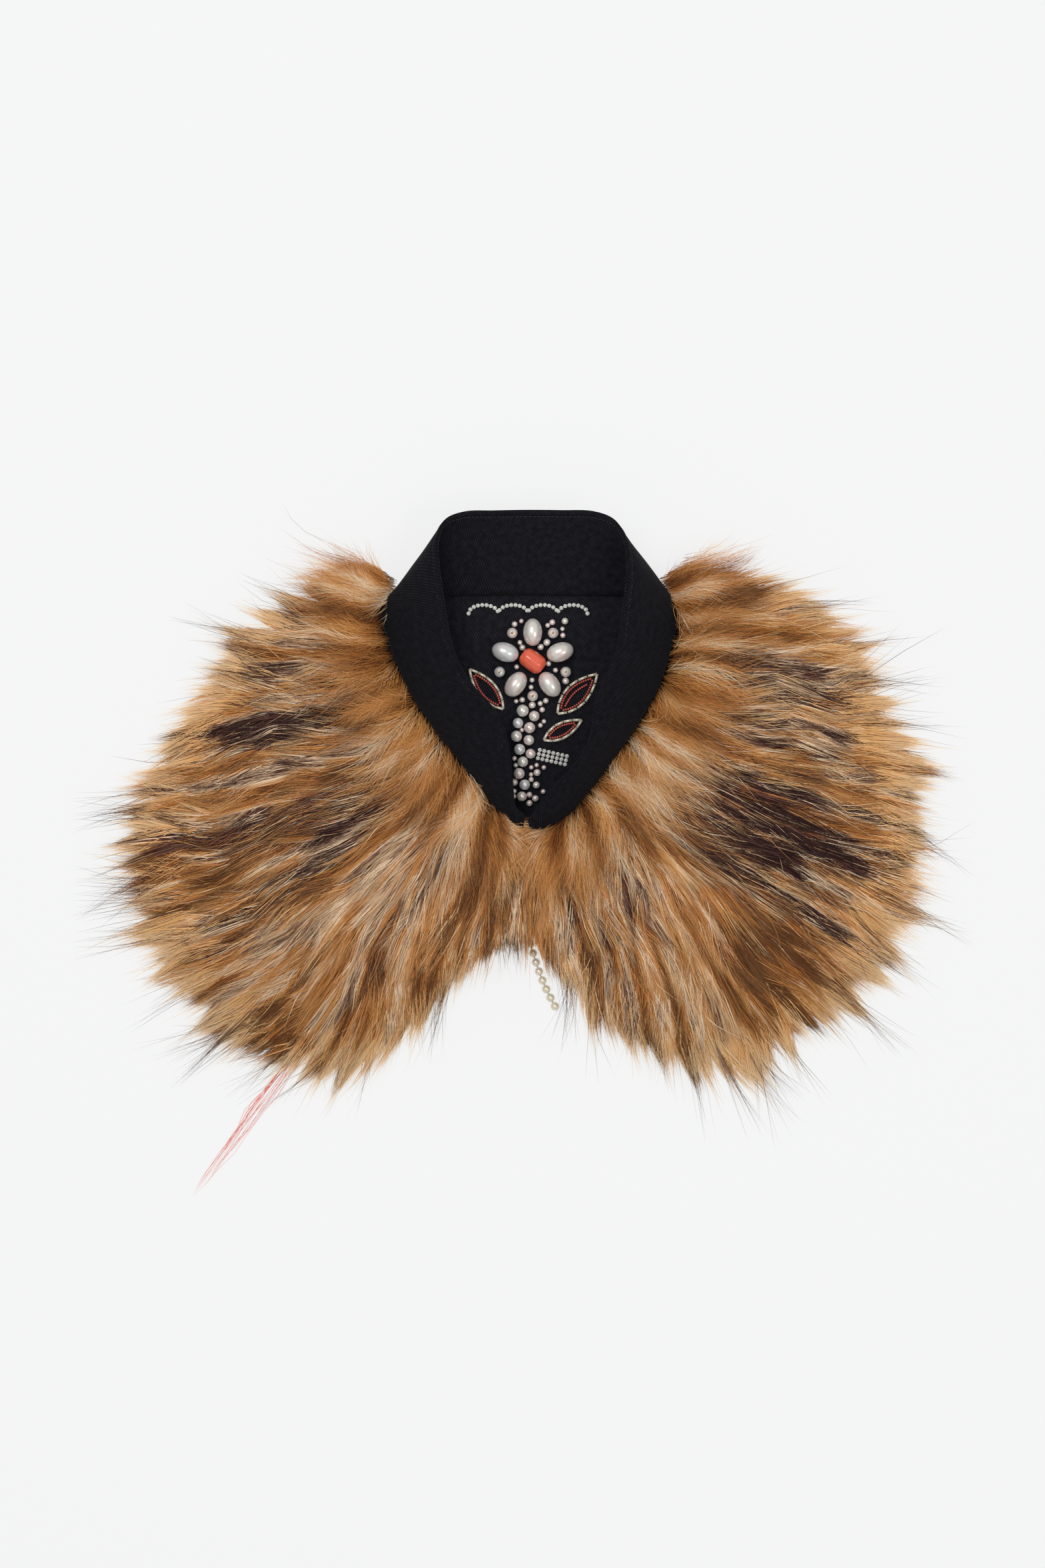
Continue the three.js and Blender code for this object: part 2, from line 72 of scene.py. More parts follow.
# The way the pile is combed. A row is a place on the fur and the heading of its hair in degrees,
# where 0 is towards +X and 90 towards the nape.
COMB = {
    "left": [
        {"x": -133, "y": 60, "heading": 152},
        {"x": -107, "y": 54, "heading": 150},
        {"x": -188, "y": 30, "heading": 168},
        {"x": -146, "y": 21, "heading": 172},
        {"x": -150, "y": -21, "heading": 182},
        {"x": -236, "y": -39, "heading": 192},
        {"x": -189, "y": -77, "heading": 194},
        {"x": -116, "y": -69, "heading": 199},
        {"x": -82, "y": -43, "heading": 205},
        {"x": -254, "y": -103, "heading": 178},
        {"x": -159, "y": -120, "heading": 202},
        {"x": -99, "y": -103, "heading": 214},
        {"x": -198, "y": -159, "heading": 201},
        {"x": -47, "y": -77, "heading": 236},
        {"x": -7, "y": -108, "heading": 276},
        {"x": -7, "y": -136, "heading": 273},
        {"x": -82, "y": -138, "heading": 232},
        {"x": -198, "y": -224, "heading": 206},
        {"x": -138, "y": -198, "heading": 228},
        {"x": -112, "y": -211, "heading": 252},
        {"x": -86, "y": -202, "heading": 262},
        {"x": -39, "y": -146, "heading": 253},
        {"x": -21, "y": -120, "heading": 258},
        {"x": -8, "y": -166, "heading": 269},
    ],
    "right": [
        {"x": 115, "y": 60, "heading": 28},
        {"x": 166, "y": 50, "heading": 12},
        {"x": 196, "y": 19, "heading": 3},
        {"x": 95, "y": -9, "heading": -5},
        {"x": 133, "y": 13, "heading": 4},
        {"x": 168, "y": -17, "heading": -3},
        {"x": 159, "y": -52, "heading": -12},
        {"x": 219, "y": -73, "heading": -12},
        {"x": 138, "y": -77, "heading": -23},
        {"x": 176, "y": -99, "heading": -15},
        {"x": 73, "y": -52, "heading": -42},
        {"x": 95, "y": -52, "heading": -28},
        {"x": 133, "y": -112, "heading": -27},
        {"x": 193, "y": -138, "heading": -29},
        {"x": 249, "y": -125, "heading": -18},
        {"x": 47, "y": -86, "heading": -65},
        {"x": 90, "y": -82, "heading": -40},
        {"x": 163, "y": -168, "heading": -38},
        {"x": 125, "y": -172, "heading": -56},
        {"x": 176, "y": -211, "heading": -45},
        {"x": 138, "y": -236, "heading": -60},
        {"x": 99, "y": -198, "heading": -70},
        {"x": 90, "y": -245, "heading": -84},
        {"x": 60, "y": -176, "heading": -76},
        {"x": 7, "y": -108, "heading": -97},
        {"x": 7, "y": -138, "heading": -94},
        {"x": 26, "y": -122, "heading": -80},
        {"x": 24, "y": -159, "heading": -86},
        {"x": 43, "y": -211, "heading": -90},
    ],
}

# Dark streaks in the pile. long and wide are half sizes along and across the hair.
STREAKS = [
    {"x": 178, "y": -14, "long": 46, "wide": 8, "strength": 0.85},
    {"x": 168, "y": -50, "long": 40, "wide": 7, "strength": 0.60},
    {"x": 150, "y": -86, "long": 40, "wide": 20, "strength": 1.6},
    {"x": 134, "y": -114, "long": 46, "wide": 17, "strength": 1.6},
    {"x": 186, "y": -112, "long": 50, "wide": 10, "strength": 1.1},
    {"x": 170, "y": -142, "long": 48, "wide": 12, "strength": 1.1},
    {"x": 234, "y": -98, "long": 50, "wide": 6, "strength": 0.85},
    {"x": 244, "y": -70, "long": 50, "wide": 5, "strength": 0.85},
    {"x": 205, "y": -170, "long": 56, "wide": 8, "strength": 0.80},
    {"x": 34, "y": -142, "long": 34, "wide": 6, "strength": 0.45},
    {"x": 50, "y": -178, "long": 32, "wide": 6, "strength": 0.40},
    {"x": -150, "y": -5, "long": 60, "wide": 4, "strength": 0.50},
    {"x": -194, "y": -20, "long": 66, "wide": 4, "strength": 0.60},
    {"x": -153, "y": -41, "long": 66, "wide": 7, "strength": 0.95},
    {"x": -162, "y": -98, "long": 84, "wide": 8, "strength": 1.10},
    {"x": -225, "y": -112, "long": 50, "wide": 5, "strength": 0.75},
    {"x": -112, "y": -84, "long": 60, "wide": 6, "strength": 0.75},
    {"x": -168, "y": -148, "long": 72, "wide": 5, "strength": 0.50},
    {"x": -126, "y": -118, "long": 60, "wide": 5, "strength": 0.60},
    {"x": -205, "y": -178, "long": 52, "wide": 5, "strength": 0.40},
    {"x": -88, "y": -165, "long": 48, "wide": 6, "strength": 0.40},
    {"x": -12, "y": -184, "long": 24, "wide": 6, "strength": 0.8},
]

# The kinds of hair in the pile, with their colours from root to tip.
# share is how much of the pile is of the kind where nothing else decides.
HAIR_KINDS = [
    {"name": "dark", "share": 0.060, "root": (0.34, 0.20, 0.12), "middle": (0.215, 0.115, 0.100), "tip": (0.175, 0.090, 0.082)},
    {"name": "smoke", "share": 0.105, "root": (0.48, 0.32, 0.20), "middle": (0.45, 0.295, 0.245), "tip": (0.30, 0.180, 0.155)},
    {"name": "banded", "share": 0.110, "root": (0.58, 0.40, 0.24), "middle": (0.86, 0.72, 0.58), "tip": (0.46, 0.300, 0.235)},
    {"name": "cream", "share": 0.160, "root": (0.64, 0.46, 0.29), "middle": (0.96, 0.86, 0.73), "tip": (0.95, 0.82, 0.66)},
    {"name": "golden", "share": 0.275, "root": (0.54, 0.35, 0.19), "middle": (0.82, 0.57, 0.32), "tip": (0.88, 0.67, 0.43)},
    {"name": "russet", "share": 0.195, "root": (0.41, 0.24, 0.12), "middle": (0.68, 0.42, 0.20), "tip": (0.76, 0.53, 0.30)},
    {"name": "brown", "share": 0.095, "root": (0.28, 0.165, 0.085), "middle": (0.42, 0.255, 0.13), "tip": (0.50, 0.34, 0.20)},
    # The halo kind is pale gold: partly the hair's own colour and partly a painted glow of light through thin hair. It
    # is used at the rim and in the fuzz by the stand.
    {"name": "halo", "share": 0.0, "root": (0.64, 0.43, 0.22), "middle": (0.92, 0.72, 0.48), "tip": (0.98, 0.87, 0.70)},
    {"name": "tipped", "share": 0.0, "root": (0.60, 0.41, 0.22), "middle": (0.44, 0.285, 0.20), "tip": (0.20, 0.115, 0.105)},
]
KIND = {kind["name"]: number for number, kind in enumerate(HAIR_KINDS)}

# The stand by sections, from the front end round to the nape: base is the sewn edge and top the free edge.
STAND_LEFT = [
    {"base": (-1.2, -102, 25), "top": (-1.2, -92.5, 35)},
    {"base": (-9, -96, 26.5), "top": (-7.6, -87, 40)},
    {"base": (-18.5, -86.5, 28), "top": (-9.2, -77, 45)},
    {"base": (-32, -69.5, 29.5), "top": (-10.3, -62, 50.5)},
    {"base": (-46, -51.5, 30.5), "top": (-13, -43.5, 54.5)},
    {"base": (-58.5, -35.5, 31), "top": (-19.5, -26.5, 57.5)},
    {"base": (-70.5, -18, 31), "top": (-33.5, -10.5, 59.5)},
    {"base": (-80.5, 1, 30), "top": (-43.5, 5, 60.5)},
    {"base": (-88.5, 21, 28), "top": (-49.5, 23, 60.5)},
    {"base": (-93, 37, 24.5), "top": (-53.5, 47, 59)},
    {"base": (-91.5, 46.5, 20), "top": (-56.5, 68, 55)},
    {"base": (-83, 51, 17.6), "top": (-57, 84, 49)},
    {"base": (-70, 51.4, 17.3), "top": (-51.5, 97.5, 42.5)},
    {"base": (-50, 51.4, 17.3), "top": (-40, 102.6, 38.5)},
    {"base": (-25, 51.6, 17.3), "top": (-21, 103.4, 37)},
]
NAPE = {"base": (0, 51.8, 17.3), "top": (0, 103.8, 36.5)}
STAND_RIGHT = [
    {"base": (1.2, -102, 25), "top": (1.2, -95, 34)},
    {"base": (12.5, -99.5, 26), "top": (6.8, -88.5, 39)},
    {"base": (25, -92, 27), "top": (14, -77.5, 43.5)},
    {"base": (40.5, -74.5, 28.5), "top": (24.5, -67.5, 47.5)},
    {"base": (54, -56, 29.5), "top": (34.8, -55, 51)},
    {"base": (66.5, -39, 30.5), "top": (41.6, -41, 54.5)},
    {"base": (77, -22.5, 31), "top": (44, -25, 57.5)},
    {"base": (85.5, -6, 30.5), "top": (48.5, -9, 59.5)},
    {"base": (92, 14, 28.5), "top": (57, 9, 60.5)},
    {"base": (97, 36, 24.5), "top": (61.8, 38, 59)},
    {"base": (95.5, 46.5, 20), "top": (64.8, 66, 55)},
    {"base": (86, 51, 17.6), "top": (63, 84, 49)},
    {"base": (72, 51.4, 17.3), "top": (55.5, 97.5, 42.5)},
    {"base": (52, 51.4, 17.3), "top": (43, 102.8, 38.5)},
    {"base": (26, 51.6, 17.3), "top": (22, 103.6, 37)},
]
SEAM_GAP = 0.3
STAND_BULGE = 2.2
FACING_DROP = 17.4

# Beading that is my own plain design. Places are on the lining, in the row's frame.
LEAVES = [
    {"base": (20, -26), "tip": (46, 0), "wide": 14.5},
    {"base": (-15, -23), "tip": (-37, 3), "wide": 12},
    {"base": (11, -43), "tip": (36, -30), "wide": 10},
]
SCALLOPS = {"from": -37.5, "to": 39.5, "y": 39, "count": 4, "deep": 5.5}
STONE_BAND = {"from": (8, -52), "to": (25.5, -56), "rows": 3}

STRAND_PATH = [(1, -163), (3, -176), (7, -190), (12.5, -204), (18.5, -216)]
STRAND_PEARL = 5.7
STRAND_PITCH = 6.0
TASSEL = {"x": -137, "y": -232, "knot": 5.0, "heading": 233, "longest": 138, "bulge": 9, "fan": 5.4}


class FurSettings(bpy.types.PropertyGroup):
    pile_length: FloatProperty(name="Pile length", description="Length of a combed hair, in millimetres", default=66)
    hair_width: FloatProperty(name="Hair width", description="Thickest part of a hair, in millimetres", default=0.42)
    lock_pitch: FloatProperty(name="Lock pitch", description="Distance between the roots of two locks, in millimetres", default=6.4)
    hairs_per_side: IntProperty(name="Hairs per side", description="Hairs on each front", default=66000)
    fuzz_per_side: IntProperty(name="Fuzz per side", description="Fine messy hairs along the stand on each front", default=9000)
    seed: IntProperty(name="Seed", description="Seed of the pile's random draws", default=7)


class ClothSettings(bpy.types.PropertyGroup):
    twill: FloatVectorProperty(name="Twill", description="Colour of the black twill", subtype="COLOR", size=3, default=srgb(0.060, 0.060, 0.074))
    # The raised lines' colour is a painted highlight over the twill.
    wale_highlight: FloatVectorProperty(name="Wale highlight", description="Colour of the twill's raised lines", subtype="COLOR", size=3, default=srgb(0.130, 0.130, 0.155))
    wale_pitch: FloatProperty(name="Wale pitch", description="Distance between two twill lines, in millimetres", default=1.45)
    ply: FloatProperty(name="Ply", description="Thickness of one ply of the stand, in millimetres", default=1.3)
    stitch: FloatProperty(name="Stitch", description="Length of a topstitch, in millimetres", default=2.5)


class BeadSettings(bpy.types.PropertyGroup):
    pearl: FloatVectorProperty(name="Pearl", description="Colour of the pearls", subtype="COLOR", size=3, default=srgb(0.90, 0.885, 0.85))
    coral: FloatVectorProperty(name="Coral", description="Colour of the coral bead", subtype="COLOR", size=3, default=srgb(0.97, 0.42, 0.30))
    red: FloatVectorProperty(name="Red", description="Colour of the red seed beads", subtype="COLOR", size=3, default=srgb(0.80, 0.34, 0.29))
    stone: FloatProperty(name="Stone", description="Pitch of the rhinestones, in millimetres", default=2.8)
    bugle: FloatProperty(name="Bugle", description="Length of a bugle bead, in millimetres", default=6.0)
    thread: FloatVectorProperty(name="Thread", description="Colour of the loose threads", subtype="COLOR", size=3, default=srgb(0.98, 0.50, 0.42))


class StageSettings(bpy.types.PropertyGroup):
    floor: FloatVectorProperty(name="Floor", description="Colour of the floor", subtype="COLOR", size=3, default=srgb(0.44, 0.441, 0.44))
    glow: FloatProperty(name="Glow", description="Light that the floor itself gives", default=0.755)
    key: FloatProperty(name="Key light", description="Power of the soft light overhead, in watts", default=26)
    fill: FloatProperty(name="Fill", description="Strength of the light from all round", default=0.55)


# Meshes

def smooth_step(low, high, value):
    share = np.clip((value - low) / (high - low), 0, 1)
    return share * share * (3 - 2 * share)


def unit(vectors):
    return vectors / np.maximum(np.linalg.norm(vectors, axis=-1, keepdims=True), 1e-9)


def make_mesh(name, points, faces, sizes=None, maps=None, smooth=True, slots=None):
    """A mesh from points in mm. faces is an array with a face a row, or a flat list of corners with sizes."""
    faces = np.asarray(faces, np.int32)
    if sizes is None:
        sizes = np.full(len(faces), faces.shape[1], np.int32)
        faces = faces.ravel()
    mesh = bpy.data.meshes.new(name)
    mesh.vertices.add(len(points))
    mesh.vertices.foreach_set("co", (np.asarray(points, np.float32) * MM).ravel())
    mesh.loops.add(len(faces))
    mesh.loops.foreach_set("vertex_index", faces)
    mesh.polygons.add(len(sizes))
    starts = np.concatenate([[0], np.cumsum(sizes)[:-1]]).astype(np.int32)
    mesh.polygons.foreach_set("loop_start", starts)
    if slots is not None:
        mesh.polygons.foreach_set("material_index", np.asarray(slots, np.int32))
    mesh.polygons.foreach_set("use_smooth", np.full(len(sizes), smooth))
    for title, places in (maps or {}).items():
        layer = mesh.uv_layers.new(name=title)
        layer.data.foreach_set("uv", np.asarray(places, np.float32).ravel())
    mesh.update(calc_edges=True)
    mesh.validate()
    return mesh


def add_piece(name, mesh, materials, nodes=()):
    piece = bpy.data.objects.new(name, mesh)
    bpy.context.scene.collection.objects.link(piece)
    for material in materials:
        mesh.materials.append(material)
    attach(piece, BODY)
    if nodes:
        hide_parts(*nodes)
    return piece


def closed_grid(top, under):
    """Points and faces of a closed wall between two grids of points."""
    columns, rows = top.shape[:2]
    points = np.concatenate([top.reshape(-1, 3), under.reshape(-1, 3)])
    index = np.arange(columns * rows).reshape(columns, rows)
    low = index + columns * rows

    def quads(grid):
        return np.stack([grid[:-1, :-1], grid[1:, :-1], grid[1:, 1:], grid[:-1, 1:]], -1).reshape(-1, 4)

    def side(near, far):
        return np.stack([near[:-1], far[:-1], far[1:], near[1:]], -1)

    faces = np.concatenate([
        quads(index),
        quads(low)[:, ::-1],
        side(index[:, 0], low[:, 0]),
        side(low[:, -1], index[:, -1]),
        side(low[0], index[0]),
        side(index[-1], low[-1]),
    ])
    return facing_out(points, faces)


def closed_disc(top, under):
    """Points, faces and face sizes of a round wall between two polar grids, whose first rows lie near the centre."""
    around, rows = top.shape[:2]
    middles = np.stack([top[:, 0].mean(0), under[:, 0].mean(0)])
    points = np.concatenate([top.reshape(-1, 3), under.reshape(-1, 3), middles])
    index = np.arange(around * rows).reshape(around, rows)
    ahead = np.roll(index, -1, axis=0)
    below = around * rows
    quads = np.stack([index[:, :-1], index[:, 1:], ahead[:, 1:], ahead[:, :-1]], -1).reshape(-1, 4)
    rim = np.stack([index[:, -1], index[:, -1] + below, ahead[:, -1] + below, ahead[:, -1]], -1)
    walls = np.concatenate([quads, quads[:, ::-1] + below, rim])
    turned_out = facing_out(points, walls)[1]
    hub = np.full(around, 2 * below)
    caps = np.concatenate([
        np.stack([hub, index[:, 0], ahead[:, 0]], -1),
        np.stack([hub + 1, ahead[:, 0] + below, index[:, 0] + below], -1),
    ])
    caps = caps if (turned_out[0] == walls[0]).all() else caps[:, ::-1]
    sizes = np.concatenate([np.full(len(walls), 4), np.full(len(caps), 3)]).astype(np.int32)
    return points, np.concatenate([turned_out.ravel(), caps.ravel()]), sizes


def facing_out(points, faces):
    a, b, c, d = (points[faces[:, corner]] for corner in range(4))
    volume = (a * np.cross(b, c)).sum() + (a * np.cross(c, d)).sum()
    return points, faces if volume > 0 else faces[:, ::-1]


def swept(rings):
    """Points, faces and face sizes of a solid swept through closed rings of points, with flat ends."""
    count, around = rings.shape[:2]
    index = np.arange(count * around).reshape(count, around)
    ahead = np.roll(index, -1, axis=1)
    quads = np.stack([index[:-1], index[1:], ahead[1:], ahead[:-1]], -1).reshape(-1, 4)
    points = rings.reshape(-1, 3)
    turned = facing_out(points, quads)[1]
    flipped = (turned[0] != quads[0]).any()
    ends = [index[0] if not flipped else index[0][::-1], index[-1][::-1] if not flipped else index[-1]]
    faces = np.concatenate([turned.ravel(), *ends])
    sizes = np.concatenate([np.full(len(quads), 4), [around, around]]).astype(np.int32)
    return points, faces, sizes


def lathe(profile, sides):
    """Points and faces turned round the X axis from rows of (along, radius), closed at both ends."""
    profile = np.asarray(profile, float)
    turn = np.arange(sides) * 2 * np.pi / sides
    ring = np.stack([np.zeros(sides), np.cos(turn), np.sin(turn)], -1)
    body = profile[1:-1]
    points = (body[:, None, :1] * [1, 0, 0] + body[:, None, 1:] * ring[None]).reshape(-1, 3)
    points = np.concatenate([points, [[profile[0, 0], 0, 0], [profile[-1, 0], 0, 0]]])
    index = np.arange(len(body) * sides).reshape(len(body), sides)
    ahead = np.roll(index, -1, axis=1)
    quads = np.stack([index[:-1], index[1:], ahead[1:], ahead[:-1]], -1).reshape(-1, 4)[:, ::-1]
    first = np.stack([np.full(sides, len(points) - 2), index[0], ahead[0]], -1)[:, ::-1]
    last = np.stack([np.full(sides, len(points) - 1), ahead[-1], index[-1]], -1)[:, ::-1]
    faces = np.concatenate([quads.ravel(), first.ravel(), last.ravel()])
    sizes = np.concatenate([np.full(len(quads), 4), np.full(2 * sides, 3)]).astype(np.int32)
    return points, faces, sizes


def joined(parts):
    """One set of points, faces, sizes and slots from several (points, faces, sizes, slot)."""
    points, faces, sizes, slots, before = [], [], [], [], 0
    for these, corners, lengths, slot in parts:
        points.append(these)
        faces.append(corners + before)
        sizes.append(lengths)
        slots.append(np.full(len(lengths), slot) if np.isscalar(slot) else slot)
        before += len(these)
    return np.concatenate(points), np.concatenate(faces), np.concatenate(sizes), np.concatenate(slots)


def placed(part, place, heading=0.0, scale=(1, 1, 1)):
    """A part turned about Z by heading in degrees and moved, with its points scaled first."""
    points, faces, sizes = part
    turn = math.radians(heading)
    spin = np.array([[math.cos(turn), math.sin(turn), 0], [-math.sin(turn), math.cos(turn), 0], [0, 0, 1]])
    return (points * scale) @ spin + np.asarray(place, float), faces, sizes


def curve_through(points, shares):
    """Centripetal curve through points, read at shares from 0 to 1 with the points evenly apart."""
    points = np.asarray(points, float)
    before = 2 * points[:1] - points[1:2]
    after = 2 * points[-1:] - points[-2:-1]
    fence = np.concatenate([before, points, after])
    place = np.clip(np.asarray(shares) * (len(points) - 1), 0, len(points) - 1 - 1e-9)
    segment = place.astype(int)
    share = (place - segment)[:, None]
    a, b, c, d = (fence[segment + step] for step in range(4))
    ab, bc, cd = (np.sqrt(np.linalg.norm(q - p, axis=1, keepdims=True)) for p, q in ((a, b), (b, c), (c, d)))
    leave = ((b - a) / ab - (c - a) / (ab + bc) + (c - b) / bc) * bc
    reach = ((c - b) / bc - (d - b) / (bc + cd) + (d - c) / cd) * bc
    square, cube = share**2, share**3
    return (
        b
        + leave * share
        + (3 * (c - b) - 2 * leave - reach) * square
        + (leave + reach - 2 * (c - b)) * cube
    )


def ripple(places, size, seed):
    """Smooth random values from about -1 to 1 over places, with features of about this size."""
    draw = np.random.default_rng(seed)
    total = np.zeros(len(places))
    for _ in range(5):
        turn, phase, pitch = draw.uniform(0, 2 * np.pi), draw.uniform(0, 2 * np.pi), size * draw.uniform(1.3, 3.2)
        along = places[:, 0] * math.cos(turn) + places[:, 1] * math.sin(turn)
        total += np.sin(along * 2 * np.pi / pitch + phase)
    return total / 2.6


# What the CAD solids say

class Relief:
    """Heights of the top and the underside of a CAD node over a grid, carried on past its edge."""

    def __init__(self, node, step=4.0, spread=14):
        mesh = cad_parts[node].data
        points = np.array([v.co for v in mesh.vertices]) / MM
        tree = BVHTree.FromPolygons([Vector(p) for p in points], [tuple(p.vertices) for p in mesh.polygons])
        self.low = points[:, :2].min(0) - spread * step
        self.step = step
        shape = np.ceil((points[:, :2].max(0) + spread * step - self.low) / step).astype(int) + 1
        self.top = np.full(shape, np.nan)
        self.under = np.full(shape, np.nan)
        for i in range(shape[0]):
            for j in range(shape[1]):
                x, y = self.low + np.array([i, j]) * step
                hit = tree.ray_cast(Vector((x, y, 500)), Vector((0, 0, -1)))[0]
                if hit is not None:
                    self.top[i, j] = hit.z
                    self.under[i, j] = tree.ray_cast(Vector((x, y, -500)), Vector((0, 0, 1)))[0].z
        self.top = self.smoothed(self.carried(self.top, spread))
        self.under = self.smoothed(self.carried(self.under, spread))
        self.points = points

    @staticmethod
    def neighbours(grid):
        wide = np.pad(grid, 1, mode="edge")
        return np.stack([wide[:-2, 1:-1], wide[2:, 1:-1], wide[1:-1, :-2], wide[1:-1, 2:], grid])

    def carried(self, grid, rounds):
        grid = grid.copy()
        for _ in range(rounds):
            around = self.neighbours(grid)
            known = ~np.isnan(around)
            mean = np.where(known, around, 0).sum(0) / np.maximum(known.sum(0), 1)
            fill = np.isnan(grid) & known.any(0)
            grid[fill] = mean[fill]
        return np.nan_to_num(grid, nan=float(np.nanmin(grid)))

    def smoothed(self, grid):
        for _ in range(2):
            grid = self.neighbours(grid).mean(0)
        return grid

    def read(self, grid, places):
        at = np.clip((places[..., :2] - self.low) / self.step, 0, np.array(grid.shape) - 1.001)
        low = at.astype(int)
        share = at - low
        i, j = low[..., 0], low[..., 1]
        u, v = share[..., 0], share[..., 1]
        near = grid[i, j] * (1 - u) + grid[i + 1, j] * u
        far = grid[i, j + 1] * (1 - u) + grid[i + 1, j + 1] * u
        return near * (1 - v) + far * v


class Reach:
    """How near and how far a front's solid comes from the origin, by angle from the centre front."""

    def __init__(self, points, side, bins=64, last=127.0):
        angle, radius = polar(points, side)
        edges = np.linspace(0, last, bins + 1)
        slot = np.clip(np.digitize(angle, edges) - 1, 0, bins - 1)
        self.middles = (edges[:-1] + edges[1:]) / 2
        self.far = np.array([radius[slot == b].max() if (slot == b).any() else np.nan for b in range(bins)])
        self.near = np.array([radius[slot == b].min() if (slot == b).any() else np.nan for b in range(bins)])
        for values in (self.far, self.near):
            missing = np.isnan(values)
            values[missing] = np.interp(self.middles[missing], self.middles[~missing], values[~missing])
        self.far = np.convolve(np.pad(self.far, 2, mode="edge"), np.ones(5) / 5, "valid")

    def outer(self, angle):
        return np.interp(angle, self.middles, self.far)

    def inner(self, angle):
        return np.interp(angle, self.middles, self.near)


def polar(places, side):
    angle = np.degrees(np.arctan2(side * places[..., 0], -places[..., 1]))
    return angle, np.hypot(places[..., 0], places[..., 1])


# Hair

HAIR_STOPS = 4
RIM_LIMIT = (-297, 292)
SHORT_TO = {"left": 13.0, "right": 6.5}  # degrees from the centre front over which the pile is short


def hair_mesh(name, paths, widths, kinds, tones_and_painted_shade, rolls):
    """Tapered flat hairs. paths is (hairs, stops, 3), widths (hairs, stops - 1), rolls their turn about themselves."""
    count, stops = paths.shape[:2]
    ahead = unit(np.gradient(paths, axis=1))
    across = unit(np.cross(ahead, [0.0, 0.0, 1.0]) + 1e-6)
    lift = np.cross(across, ahead)
    side = np.cos(rolls)[:, None, None] * across + np.sin(rolls)[:, None, None] * lift
    half = side[:, :-1] * widths[:, :, None] / 2
    rings = np.stack([paths[:, :-1] - half, paths[:, :-1] + half], axis=2)
    points = np.concatenate([rings.reshape(count, -1, 3), paths[:, -1:]], axis=1)
    corners, places, sizes = hair_pattern(stops)
    faces = (np.arange(count)[:, None] * points.shape[1] + corners[None]).ravel()
    # The chart's U holds each hair's kind and its tone, which carries painted shade.
    band = (kinds + 0.08 + 0.8 * tones_and_painted_shade) / len(HAIR_KINDS)
    chart = np.empty((count, len(corners), 2))
    chart[:, :, 0] = band[:, None] + 0.004 * places[None, :, 0]
    chart[:, :, 1] = places[None, :, 1]
    slots = np.repeat(kinds, len(sizes))
    maps = {"OFBake": chart.reshape(-1, 2), "Hair": chart.reshape(-1, 2)}
    return make_mesh(name, points.reshape(-1, 3), faces, np.tile(sizes, count), maps, True, slots)


def hair_pattern(stops):
    """Corners of one hair's faces, where each corner lies on the hair's chart, and the faces' sizes."""
    corners, places, sizes = [], [], []
    up = np.linspace(0.02, 0.98, stops)
    for ring in range(stops - 2):
        for along, side in ((ring, 0), (ring, 1), (ring + 1, 1), (ring + 1, 0)):
            corners.append(2 * along + side)
            places.append((side, up[along]))
        sizes.append(4)
    last = stops - 2
    corners += [2 * last, 2 * last + 1, 2 * last + 2]
    places += [(0, up[last]), (1, up[last]), (0.5, up[last + 1])]
    sizes.append(3)
    return np.array(corners), np.array(places), np.array(sizes, np.int32)


class Grid:
    """Values on a square grid over the plan, read between its points."""

    def __init__(self, low, step, values):
        self.low, self.step, self.values = np.asarray(low, float), step, values

    def read(self, places):
        at = (places[..., :2] - self.low) / self.step
        at = np.clip(at, 0, np.array(self.values.shape[:2]) - 1.001)
        low = at.astype(int)
        share = at - low
        i, j = low[..., 0], low[..., 1]
        u, v = share[..., 0], share[..., 1]
        if self.values.ndim == 3:
            u, v = u[..., None], v[..., None]
        near = self.values[i, j] * (1 - u) + self.values[i + 1, j] * u
        far = self.values[i, j + 1] * (1 - u) + self.values[i + 1, j + 1] * u
        return near * (1 - v) + far * v


class Comb:
    """The heading of the pile on one front, and how dark its streaks are, over a grid."""

    def __init__(self, side_name, pull=26.0, step=6.0):
        xs, ys = np.arange(-330, 331, step), np.arange(-400, 141, step)
        places = np.stack(np.meshgrid(xs, ys, indexing="ij"), -1)
        rows = COMB[side_name]
        at = np.array([(row["x"], row["y"]) for row in rows], float)
        turn = np.radians([row["heading"] for row in rows])
        ways = np.stack([np.cos(turn), np.sin(turn)], -1)
        apart = ((places[:, :, None] - at) ** 2).sum(-1)
        weight = (apart + pull**2) ** -2.0
        self.ways = Grid((xs[0], ys[0]), step, unit((weight[..., None] * ways).sum(2)))

    def read(self, places):
        return unit(self.ways.read(places))

    def darkness(self, places):
        ways = self.read(places)
        most = np.zeros(len(places))
        for row in STREAKS:
            off = places[:, :2] - (row["x"], row["y"])
            along = (off * ways).sum(1) / row["long"]
            aside = (off[:, 0] * ways[:, 1] - off[:, 1] * ways[:, 0]) / row["wide"]
            most = np.maximum(most, row["strength"] * np.exp(-(along**2) - aside**2))
        return most

    def streaked(self, places, cell, draw, steps=11, stride=8.0):
        """Even random values from 0 to 1 that change over about a cell across the hair and slowly along it."""
        lattice = Grid((-420, -480), cell, draw.random((int(840 / cell), int(720 / cell))))
        place = places.copy()
        for _ in range(steps // 2):
            place -= self.read(place) * stride
        total = np.zeros(len(places))
        for _ in range(steps):
            total += lattice.read(place)
            place += self.read(place) * stride
        rank = np.empty(len(places))
        rank[np.argsort(total)] = np.linspace(0, 1, len(places))
        return rank


def turned(ways, degrees):
    turn = np.radians(degrees)
    cos, sin = np.cos(turn), np.sin(turn)
    return np.stack([ways[:, 0] * cos - ways[:, 1] * sin, ways[:, 0] * sin + ways[:, 1] * cos], -1)


